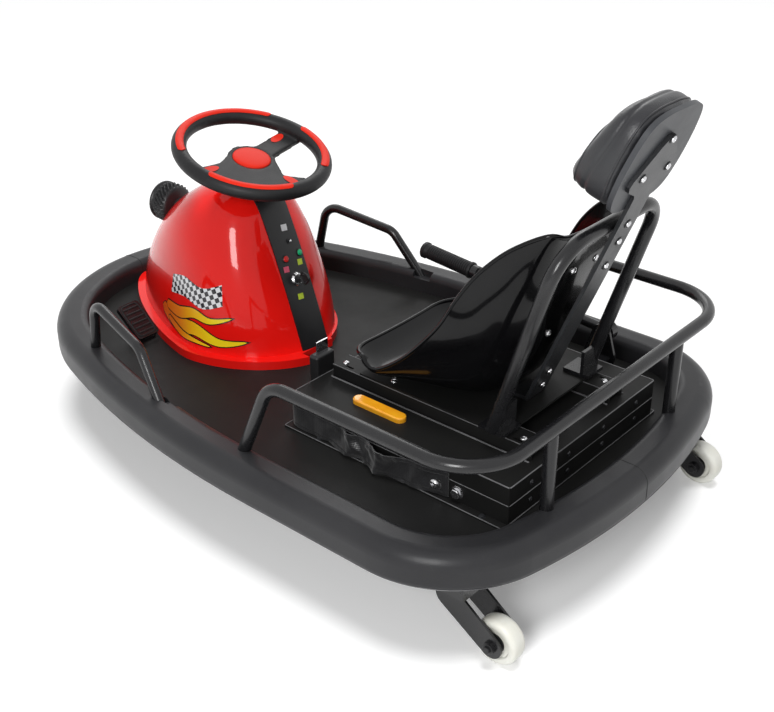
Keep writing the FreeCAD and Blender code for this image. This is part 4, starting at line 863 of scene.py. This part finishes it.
def seatPoint(at, share, inward):
    # a point of the shell and its local up, at a place along the stations and a share of the width
    rows = seat["stations"]
    i = min(int(at), len(rows) - 2)
    near = [rows[min(max(i + k, 0), len(rows) - 1)] for k in (-1, 0, 1, 2)]
    lowX, lowZ, rimX, rimZ, half = [spline(*values, at - i) for values in zip(*near)]
    up = Vector((rimX - lowX, 0, rimZ - lowZ))
    depth = up.length
    up.normalize()
    turn = math.pi * (share - 0.5)
    s, c = math.sin(turn), max(math.cos(turn), 0)
    across = math.copysign(abs(s) ** seat["flank"], s) * (half - inward)
    # the lip's front corners are rounded off in plan
    over = min(1, max(0, (abs(across) - half + seat["cornerRadius"]) / seat["cornerRadius"]))
    back = seat["cornerRadius"] * (1 - math.sqrt(1 - over * over)) * max(0, 1 - at / seat["cornerFade"])
    rise = inward + (depth - inward) * (1 - c ** seat["belly"])
    return Vector((lowX - back, across, lowZ)) + up * rise, up


def buildSeat():
    rows = seat["rowsPerStation"] * (len(seat["stations"]) - 1)
    cols = seat["columns"]
    outerEdge, fade = seat["recessEdge"]
    verts = []
    for inward in (0.0, seat["wall"]):
        for r in range(rows + 1):
            for k in range(cols + 1):
                share = 0.5 - 0.5 * math.cos(math.pi * k / cols)
                p, up = seatPoint(r / seat["rowsPerStation"], share, inward)
                oval = ((p.z - seat["recessZ"]) / seat["recessHalfZ"]) ** 2 + (p.y / seat["recessHalfY"]) ** 2
                if r / rows > 0.5 and oval < outerEdge:
                    dip = min(1, (outerEdge - oval) / fade)
                    p = p + up * seat["recessDepth"] * dip * dip * (3 - 2 * dip)
                verts.append(p)
    faces, edge = slabFaces(rows, cols)
    shell = addMesh("seatShell", [(verts, faces)], "seatPlastic")
    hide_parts("seat_shell")
    half = len(verts) // 2
    line = evenPath([(verts[i] + verts[i + half]) / 2 for i in edge], seat["rimStep"], True)
    for _ in range(4):  # eases the bead round the corners
        line = [(line[i - 1] + p * 2 + line[(i + 1) % len(line)]) / 4 for i, p in enumerate(line)]
    addMesh("seatRim", [sweepShape(line, seat["rimRadius"], 10, True)], "seatPlastic")
    tree = BVHTree.FromPolygons(verts, faces)
    bolts = [domeBolt(*meetForward(tree, behind, *place), seat["boltRadius"], 0.45)
             for place in seat["bolts"]]
    addMesh("seatBolts", bolts, "brightSteel")
    print("seat moulded")


buildSeat()


# headrest

headrest = dict(
    voxel=0.005, settle=22, shrink=0.955, backGap=0.0004, lean=21.8, cap=0.006, frames=20,
    flatBack=(0.004, 0.012), pipeRadius=0.0017, pipeStep=0.006, pipeDepths=(0.13, 0.80), creaseDepth=0.47,
    creaseWave=(0.006, 26), creaseDip=0.0022, creaseWide=0.0030, creaseFrom=0.045,
    air=dict(quality=6, mass=0.2, tension_stiffness=12, compression_stiffness=12, bending_stiffness=1.5,
             use_pressure=True, uniform_pressure_force=3.2),
    bolts=[(0.0, 0.714), (0.033, 0.662), (-0.033, 0.662), (0.0, 0.578), (0.0, 0.548), (0.0, 0.505),
           (0.0, 0.300), (0.0, 0.272)],
    boltRadius=0.0054, washer=[(0, 0.0072), (0.0010, 0.0072), (0.0013, 0.0066)],
)


def puff(piece, front):
    # swell the pad's skin with air, hold each point within the cap, and keep the back flat
    cloth = piece.modifiers.new("air", "CLOTH")
    for setting, value in headrest["air"].items():
        setattr(cloth.settings, setting, value)
    cloth.settings.effector_weights.gravity = 0
    cloth.point_cache.frame_start = 1
    cloth.point_cache.frame_end = headrest["frames"]
    before = [v.co.copy() for v in piece.data.vertices]
    back = min(p.dot(front) for p in before)
    for number in range(1, headrest["frames"] + 1):
        bpy.context.scene.frame_set(number)
    applyModifiers(piece)
    stay, fade = headrest["flatBack"]
    for v, was in zip(piece.data.vertices, before):
        move = v.co - was
        if move.length > headrest["cap"]:
            move *= headrest["cap"] / move.length
        v.co = was + move * min(1, max(0, (was.dot(front) - back - stay) / fade))
    bpy.context.scene.frame_set(1)


def buildHeadrest():
    front, up = leaning(headrest["lean"])
    pad = copyNode("headrest_pad", "headrestPad")
    middle = sum((v.co for v in pad.data.vertices), Vector()) / len(pad.data.vertices)
    back = min(v.co.dot(front) for v in pad.data.vertices)
    for v in pad.data.vertices:
        depth = v.co.dot(front) - back
        shrunk = middle + (v.co - middle) * headrest["shrink"]
        v.co = shrunk + front * (back + depth * headrest["shrink"] + headrest["backGap"] - shrunk.dot(front))
    soften(pad, headrest["voxel"], headrest["settle"])
    puff(pad, front)
    fine = pad.modifiers.new("fine", "SUBSURF")
    fine.levels = 1
    applyModifiers(pad)
    depths = [v.co.dot(front) for v in pad.data.vertices]

    def within(share):
        return middle + front * (min(depths) + (max(depths) - min(depths)) * share - middle.dot(front))

    pipes = []
    for share in headrest["pipeDepths"]:
        loop = max(cutLoops(pad, within(share), front), key=len)
        pipes.append(sweepShape(evenPath(loop, headrest["pipeStep"], True), headrest["pipeRadius"], 10, True))
    crease = within(headrest["creaseDepth"])
    sway, pitch = headrest["creaseWave"]
    for v in pad.data.vertices:  # the sewn line round the side
        away = (v.co - crease).dot(front) + sway * math.sin((v.co - crease).dot(up) * pitch)
        outward = (v.co - middle) - front * (v.co - middle).dot(front)
        if outward.length > headrest["creaseFrom"]:
            dip = headrest["creaseDip"] * math.exp(-(away / headrest["creaseWide"]) ** 2)
            v.co -= outward.normalized() * dip
    finishPiece(pad, "leatherette")
    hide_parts("headrest_pad")
    addMesh("padPiping", pipes, "leatherette")
    print("headrest padded:", len(pad.data.polygons), "faces")


def buildStrapBolts():
    trees = [surfaceTree(solids[name]) for name in ("headrest_strap", "headrest_board")]
    back = -leaning(headrest["lean"])[0]
    bolts, washers = [], []
    for y, z in headrest["bolts"]:
        found = [tree.ray_cast(Vector((behind, y, z)), axisX)[0] for tree in trees]
        met = min((p for p in found if p is not None), key=lambda p: p.x)
        washers.append(latheShape(headrest["washer"], met, back, 24))
        bolts.append(domeBolt(met + back * 0.001, back, headrest["boltRadius"], 0.5))
    addMesh("strapWashers", washers, "blackTrim")
    addMesh("strapBolts", bolts, "brightSteel")
    print("strap bolted")


buildHeadrest()
buildStrapBolts()


# seat box, slides and hoop

seatBase = dict(
    edgeRadius=0.0010, frontX=-0.080, halfY=0.206, foldLift=0.036, footLift=0.003,
    slideEdgeRadius=0.0007, slideFootRadius=0.0014, slideFootOut=0.004,
    flangeScrewX=(-0.47, -0.36, -0.25, -0.14), flangeScrewY=0.2135, screwRadius=0.0042,
    rearScrewY=(-0.15, -0.05, 0.05, 0.15), rearScrewDown=0.018, rearScrewUp=0.020,
    hoopBolts=[(-0.430, 0.118), (-0.430, -0.118)], hoopBoltRadius=0.0085, hoopBoltLift=0.006,
    slideBolts=[-0.110, -0.215, -0.470], slideBoltRadius=0.0055, slideBoltOut=0.004, seatEnd=(-0.45, 0.10),
)


def edgeLine(low, high, level, radius):
    # a bead round a rectangle at one height, left open at its corners
    corners = [Vector((x, y, level)) for x, y in ((low.x, low.y), (high.x, low.y), (high.x, high.y),
                                                  (low.x, high.y))]
    pts = []
    for a, b in zip(corners, corners[1:] + corners[:1]):
        run = (b - a).normalized()
        pts += [a + run * radius * 2, b - run * radius * 2]
    return sweepShape(pts, radius, 8, True)


def buildBoxTrim():
    low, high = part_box("seat_box")
    base, r = seatBase, seatBase["edgeRadius"]
    bodyLow = Vector((low.x, -base["halfY"], 0))
    bodyHigh = Vector((base["frontX"], base["halfY"], 0))
    # pale beads along the box's top edge, foot and fold: painted highlight where the edges catch the light
    highlightEdges = [edgeLine(bodyLow, bodyHigh, high.z - r * 0.5, r),
            edgeLine(low, high, low.z + base["footLift"], r * 0.8),
            edgeLine(bodyLow, bodyHigh, low.z + base["foldLift"], r * 0.7)]
    addMesh("boxEdges", highlightEdges, "paintedHighlightGrey")
    lines = []
    # pale beads along the slides' top and foot edges: painted highlight
    for side in ("left", "right"):
        a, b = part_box("seat_slide_" + side)
        for out, z, radius in ((0, b.z - 0.0003, base["slideEdgeRadius"]),
                               (base["slideFootOut"], a.z + 0.0008, base["slideFootRadius"])):
            for y in (a.y - out, b.y + out):
                lines.append(sweepShape([(a.x, y, z), (b.x, y, z)], radius, 8))
    addMesh("slideEdges", lines, "paintedHighlightGrey")


def buildBoxBolts():
    low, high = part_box("seat_box")
    base = seatBase
    screws = [hexBolt((x, side * base["flangeScrewY"], low.z + base["footLift"]), axisZ, base["screwRadius"])
              for x in base["flangeScrewX"] for side in (1, -1)]
    screws += [domeBolt((low.x, y, z), -axisX, base["screwRadius"]) for y in base["rearScrewY"]
               for z in (high.z - base["rearScrewDown"], low.z + base["rearScrewUp"])]
    addMesh("boxScrews", screws, "strapSteel")
    plateLow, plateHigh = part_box("seat_pan_plate")
    slideLow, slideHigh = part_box("seat_slide_left")
    bright = [domeBolt((x, y, plateHigh.z + base["hoopBoltLift"]), axisZ, base["hoopBoltRadius"], 0.5)
              for x, y in base["hoopBolts"]]
    endX, endY = base["seatEnd"]
    for x in base["slideBolts"]:
        onPlate = plateLow.x < x < plateHigh.x
        level = plateHigh.z if onPlate else slideHigh.z
        for side in (1, -1):
            y = side * (slideLow.y + slideHigh.y) / 2
            if not (onPlate and x > endX and abs(y) < endY):  # the seat hides the rest
                bright.append(domeBolt((x, y + side * base["slideBoltOut"], level), axisZ,
                                       base["slideBoltRadius"], 0.45))
    addMesh("seatBaseBolts", bright, "brightSteel")
    print("seat base trimmed")


buildBoxTrim()
buildBoxBolts()


# belts

belt = dict(
    # X and distance out from the box's side, from the anchor to the free end
    left=[(-0.402, 0.0), (-0.350, 0.007), (-0.290, 0.016), (-0.230, 0.009), (-0.170, 0.0035), (-0.130, 0.003),
          (-0.090, 0.004), (-0.073, -0.006), (-0.065, -0.030), (-0.062, -0.060)],
    right=[(-0.340, 0.0), (-0.300, 0.008), (-0.250, 0.012), (-0.200, 0.007), (-0.160, 0.0035),
           (-0.125, 0.003), (-0.090, 0.004), (-0.073, -0.006), (-0.065, -0.030), (-0.062, -0.060)],
    boxSide=0.2063, floor=0.1566, height=0.0436, thickness=0.0022, gap=0.0008, step=0.0026, rows=14,
    crumple=0.0125, foldLength=0.074, loosePart=0.72, tight=0.12, sag=0.0015, stitchRadius=0.0005,
    anchors={1: ((-0.378, "dome"), (-0.418, "hex")), -1: ((-0.352, "dome"),)}, anchorRadius=0.0085,
    anchorZ=0.174, hexAnchorYZ=(0.206, 0.172), washer=[(-0.004, 0.0125), (0.0008, 0.0125), (0.0014, 0.0115)],
)


def crumpleAt(x, y, side, up):
    # how far the webbing stands off there, as a share of the deepest crumple
    fold = noise.noise(Vector((x * 26, y * 20 + side * 3, up * 1.4)))
    fine = noise.noise(Vector((x * 120 + 5, side * 9, up * 4.5)))
    broad = 0.5 + 0.5 * math.sin(2 * math.pi * x / belt["foldLength"] + 2.5 * fold + 1.1 * up)
    cup = -0.25 * math.sin(math.pi * up)
    return max(0.0, 0.1 + 0.85 * broad + 0.3 * fold + 0.15 * fine + cup)


def buildBelt(side, name):
    line = smoothPath([(x, side * (belt["boxSide"] + out), 0) for x, out in belt[name]], 22)
    line = evenPath(line, belt["step"])
    rows, last = belt["rows"], len(line) - 1
    inner, outer = [], []
    for i, p in enumerate(line):
        run = (line[min(i + 1, last)] - line[max(i - 1, 0)]).normalized()
        away = Vector((-run.y, run.x, 0)) * side
        share = i / last / belt["loosePart"]
        loose = math.sin(math.pi * share) if share < 1 else belt["tight"]
        sag = belt["sag"] * loose * noise.noise(Vector((p.x * 30, 2.0, 0.4)))
        for r in range(rows + 1):
            up = r / rows
            reach = belt["gap"] + crumpleAt(p.x, p.y, side, up) * belt["crumple"] * loose
            z = belt["floor"] + belt["gap"] + belt["height"] * up + sag * up
            inner.append(p + away * reach + axisZ * z)
            outer.append(inner[-1] + away * belt["thickness"])
    band = addMesh("beltWebbing" + name.capitalize(), [(inner + outer, slabFaces(last, rows)[0])], "webbing")
    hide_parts("belt_webbing_" + name)
    seams = [sweepShape(outer[r::3 * (rows + 1)], belt["stitchRadius"], 6) for r in (2, rows - 2)]
    addMesh("beltStitching" + name.capitalize(), seams, "darkSeam")


def buildAnchors():
    shapes = []
    y, z = belt["hexAnchorYZ"]
    for side, bolts in belt["anchors"].items():
        out = axisY * side
        for x, kind in bolts:
            if kind == "hex":
                shapes.append(hexBolt((x, side * y, z), out, belt["anchorRadius"], 0.7))
                continue
            spot = Vector((x, side * (belt["boxSide"] + belt["thickness"] + 0.002), belt["anchorZ"]))
            shapes.append(latheShape(belt["washer"], spot, out, 28))
            shapes.append(domeBolt(spot + out * 0.0012, out, belt["anchorRadius"], 0.6))
    addMesh("beltAnchors", shapes, "brightSteel")


buildBelt(1, "left")
buildBelt(-1, "right")
buildAnchors()
print("belts laid")


# drift lever

lever = dict(rise=5.0, gripStart=0.294, gripLength=0.118, radius=0.0145, ringDepth=0.0013, ringPitch=0.0048,
             ringEnds=0.018, ringStart=0.007, ringShape=((0.0, 0.0), (0.2, 1.0), (0.6, 1.0), (0.8, 0.0)),
             # along from the near end or the far end, and out from the grip's radius
             collar=[(0.0, 0.0008), (0.001, 0.0015), (0.005, 0.0015), (0.006, -0.001)],
             tip=[(-0.010, 0), (-0.009, 0.0014), (-0.003, 0.0012), (-0.001, -0.001), (0, -0.004)],
             bore=0.0098, hole=0.004, nutOut=0.014, nutRadius=0.0062)


def buildLeverGrip():
    pivot = turning["drift_lever_pull"][0]
    onward = leaning(lever["rise"])[0]
    length, r, pitch = lever["gripLength"], lever["radius"], lever["ringPitch"]
    profile = [(0.0, lever["bore"])] + [(a, r + b) for a, b in lever["collar"]]
    for k in range(int((length - lever["ringEnds"]) / pitch)):
        at = lever["ringStart"] + k * pitch
        profile += [(at + share * pitch, r - lever["ringDepth"] * (1 - lift))
                    for share, lift in lever["ringShape"]]
    profile += [(length + a, r + b) for a, b in lever["tip"]] + [(length, lever["hole"])]
    grip = addMesh("leverGrip", [latheShape(profile, pivot + onward * lever["gripStart"], onward, 48)],
                   "gripRubber", "drift_lever_arm")
    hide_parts("lever_grip")
    nut = domeBolt(pivot - axisY * lever["nutOut"], -axisY, lever["nutRadius"], 0.35)
    addMesh("leverNut", [nut], "brightSteel")
    print("lever gripped")


buildLeverGrip()


# wheels

caster = dict(
    # distance from the middle and radius, from the bore out to the tread
    section=[(0.0168, 0.0052), (0.0168, 0.0098), (0.0154, 0.0108), (0.0108, 0.0122), (0.0104, 0.0238),
             (0.0132, 0.0256), (0.0146, 0.026), (0.0148, 0.0275), (0.0148, 0.0313), (0.0134, 0.0345),
             (0.0108, 0.0365), (0.0068, 0.0375)],
    dust=[(0, 0.016), (0.0015, 0.0155), (0.0030, 0.012), (0.0036, 0.006)], dustOut=0.0119, nutRadius=0.0066,
)
drive = dict(radius=0.100, halfWidth=0.030, grooveDepth=0.0032, turnSteps=300, rowSteps=26, blocks=30,
             shoulder=0.004, crownDrop=0.0065, crownEdge=(0.014, 0.010), plainEdge=0.0035, ringY=0.0085,
             ringHalf=0.0016, slant=34, gap=0.16, boltCircle=0.042, boltRadius=0.0036)


def buildCasters():
    section = caster["section"]
    profile = [(-a, b) for a, b in section] + section[::-1]
    for side in ("left", "right"):
        axle = turning[side + "_caster_roll"][0]
        tyre = addMesh("casterTyre_" + side, [latheShape(profile, axle, axisY, 72)], "whiteWheel",
                       side + "_caster_wheel")
        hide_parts("caster_wheel_" + side)
        low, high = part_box("caster_fork_" + side)
        nuts = [hexBolt((axle.x, y, axle.z), axisY * out, caster["nutRadius"], 0.6)
                for y, out in ((low.y, -1), (high.y, 1))]
        addMesh("casterNuts_" + side, nuts, "framePaint", side + "_caster_fork")
        cap = latheShape(caster["dust"], axle + axisY * caster["dustOut"], axisY, 36)
        addMesh("casterDust_" + side, [cap], "blackTrim", side + "_caster_wheel")
    print("casters turned")


def tread(along, turn):
    # two grooves round the tyre, and slanting gaps between the blocks outside them
    if abs(along) > drive["halfWidth"] - drive["plainEdge"]:
        return 0
    slant = (turn * drive["blocks"] / (2 * math.pi) + abs(along) * drive["slant"]) % 1
    inRing = abs(abs(along) - drive["ringY"]) < drive["ringHalf"]
    inGap = slant < drive["gap"] and abs(along) > drive["ringY"]
    return -drive["grooveDepth"] if inRing or inGap else 0


def buildDriveTyre():
    axle = turning["drive_wheel_roll"][0]
    radius, half = drive["radius"], drive["halfWidth"]
    low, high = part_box("hub_motor")
    inner = max(high.z - axle.z, 0.05) + 0.0003
    wall = [(-half + 0.003, inner), (-half, inner + 0.006), (-half, radius - 0.020),
            (-half + 0.0012, radius - 0.011)]
    start, fade = drive["crownEdge"]
    crown = []
    for k in range(drive["rowSteps"] + 1):
        y = (half - drive["shoulder"]) * (2 * k / drive["rowSteps"] - 1)
        edge = max(0, abs(y) - half + start) / fade
        crown.append((y, radius - drive["crownDrop"] * edge ** 2))
    section = wall + crown + [(-a, b) for a, b in reversed(wall)]
    shape = latheShape(section, axle, axisY, drive["turnSteps"], tread)
    tyre = addMesh("driveTyre", [shape], "tyreRubber", "drive_wheel")
    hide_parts("drive_tyre")
    bolts = []
    for turn in turns(6):
        x, z = axle.x + drive["boltCircle"] * math.cos(turn), axle.z + drive["boltCircle"] * math.sin(turn)
        for y, out in ((low.y, -1), (high.y, 1)):
            bolts.append(domeBolt((x, y, z), axisY * out, drive["boltRadius"]))
    addMesh("motorBolts", bolts, "brightSteel", "drive_wheel")
    print("drive tyre cut")


buildCasters()
buildDriveTyre()


# pedals

pedal = dict(x=0.344, side=0.170, lift=0.159, tilt=38, length=0.076, width=0.048, thickness=0.008, ribs=6,
             ribEnds=0.012, ribSides=0.007, ribRadius=0.0022, ribFlatten=0.8, rimInset=0.004,
             rimRadius=0.0016, rimStep=0.004, rimSteps=40, boxiness=0.35)


def boxy(value):
    return math.copysign(abs(value) ** pedal["boxiness"], value)


def buildPedalRibs():
    along, out = leaning(pedal["tilt"])
    inset = pedal["rimInset"]
    for name, side in (("brake", 1), ("throttle", -1)):
        root = Vector((pedal["x"], side * pedal["side"], pedal["lift"])) + out * pedal["thickness"]
        reach = axisY * (pedal["width"] / 2 - pedal["ribSides"])
        bars, rim = [], []
        for k in range(pedal["ribs"]):
            at = root + along * (pedal["ribEnds"] + (pedal["length"] - 2 * pedal["ribEnds"]) * k
                                 / (pedal["ribs"] - 1))
            bars.append(sweepShape([at - reach, at, at + reach], pedal["ribRadius"], 10, False,
                                   pedal["ribFlatten"], out))
        for turn in turns(pedal["rimSteps"]):
            a = boxy(math.cos(turn)) * (pedal["length"] / 2 - inset)
            rim.append(root + along * (pedal["length"] / 2 + a)
                       + axisY * boxy(math.sin(turn)) * (pedal["width"] / 2 - inset))
        bars.append(sweepShape(evenPath(rim, pedal["rimStep"], True), pedal["rimRadius"], 8, True))
        addMesh(name + "PedalRibs", bars, "gripRubber")
    print("pedals ribbed")


buildPedalRibs()


# floor, light and camera

studio = dict(floorSize=30, sunStrength=1.95, sunSpread=24, worldLevel=0.18, floorGlow=0.22, sensor=36,
              camera=(-1.3302, 1.4379, 1.25), pitch=28.869, heading=49.502, lens=57.36, farthest=100)


def openRays(tree):
    # 1 for rays from the camera, and for those mirrored in or passing through the kart's pieces
    seen = addNode(tree, "ShaderNodeLightPath", {})
    total = seen.outputs["Is Camera Ray"]
    for kind in ("Is Glossy Ray", "Is Transmission Ray"):
        total = addNode(tree, "ShaderNodeMath", {0: total, 1: seen.outputs[kind]},
                        operation="MAXIMUM").outputs[0]
    return total


def buildFloor():
    half = studio["floorSize"] / 2
    corners = [(-half, -half, 0), (half, -half, 0), (half, half, 0), (-half, half, 0)]
    mesh = bpy.data.meshes.new("studioFloor")
    mesh.from_pydata(corners, [], [(0, 1, 2, 3)])
    paint = paints["studioFloor"]
    level = paint.node("ShaderNodeMath", {0: openRays(paint.tree), 1: studio["floorGlow"]},
                       operation="MULTIPLY")
    glow = paint.node("ShaderNodeEmission", {"Color": white, "Strength": level.outputs[0]})
    both = paint.node("ShaderNodeAddShader", {0: paint.shader.outputs[0], 1: glow.outputs[0]})
    paint.tree.links.new(both.outputs[0], paint.out.inputs[0])
    mesh.materials.append(paint.material)
    floor = linkObject("studioFloor", mesh)


def buildWorld():
    world = bpy.data.worlds.new("studio")
    bpy.context.scene.world = world
    world.use_nodes = True
    tree = world.node_tree
    tree.nodes.clear()
    level = addNode(tree, "ShaderNodeMapRange", {"Value": openRays(tree), "To Min": studio["worldLevel"],
                                                 "To Max": 1})
    plain = addNode(tree, "ShaderNodeBackground", {"Color": white, "Strength": level.outputs["Result"]})
    addNode(tree, "ShaderNodeOutputWorld", {"Surface": plain.outputs[0]})


def addLamp(name, kind, place, aim, energy, **shape):
    data = bpy.data.lights.new(name, kind)
    data.energy = energy
    for setting, value in shape.items():
        setattr(data, setting, value)
    made = linkObject(name, data)
    made.location = place
    made.rotation_euler = (Vector(aim) - Vector(place)).to_track_quat("-Z", "Y").to_euler()
    return made


def buildCamera():
    pitch, heading = math.radians(studio["pitch"]), math.radians(studio["heading"])
    level = Vector((math.cos(heading), -math.sin(heading), 0))
    look = level * math.cos(pitch) - axisZ * math.sin(pitch)
    data = bpy.data.cameras.new("studioCamera")
    data.lens = studio["lens"]
    data.sensor_width = studio["sensor"]
    data.sensor_fit = "HORIZONTAL"
    data.clip_end = studio["farthest"]
    camera = linkObject("studioCamera", data)
    camera.location = studio["camera"]
    camera.rotation_euler = look.to_track_quat("-Z", "Y").to_euler()
    bpy.context.scene.camera = camera


buildFloor()
buildWorld()
sun = addLamp("overhead", "SUN", (0, 0, 4), (0.25, -0.1, 0), studio["sunStrength"],
              angle=math.radians(studio["sunSpread"]))
sun.visible_glossy = False  # its wide disc would veil the red shell
addLamp("softboxLeft", "AREA", (-1.15, 2.1, 1.35), (0.1, 0, 0.3), 32, shape="RECTANGLE", size=0.6, size_y=0.9)
addLamp("softboxBack", "AREA", (1.6, -1.8, 2.0), (0, 0, 0.3), 12, shape="RECTANGLE", size=1.6, size_y=0.8)
buildCamera()
bpy.context.scene.view_settings.view_transform = "Standard"
print("studio ready")
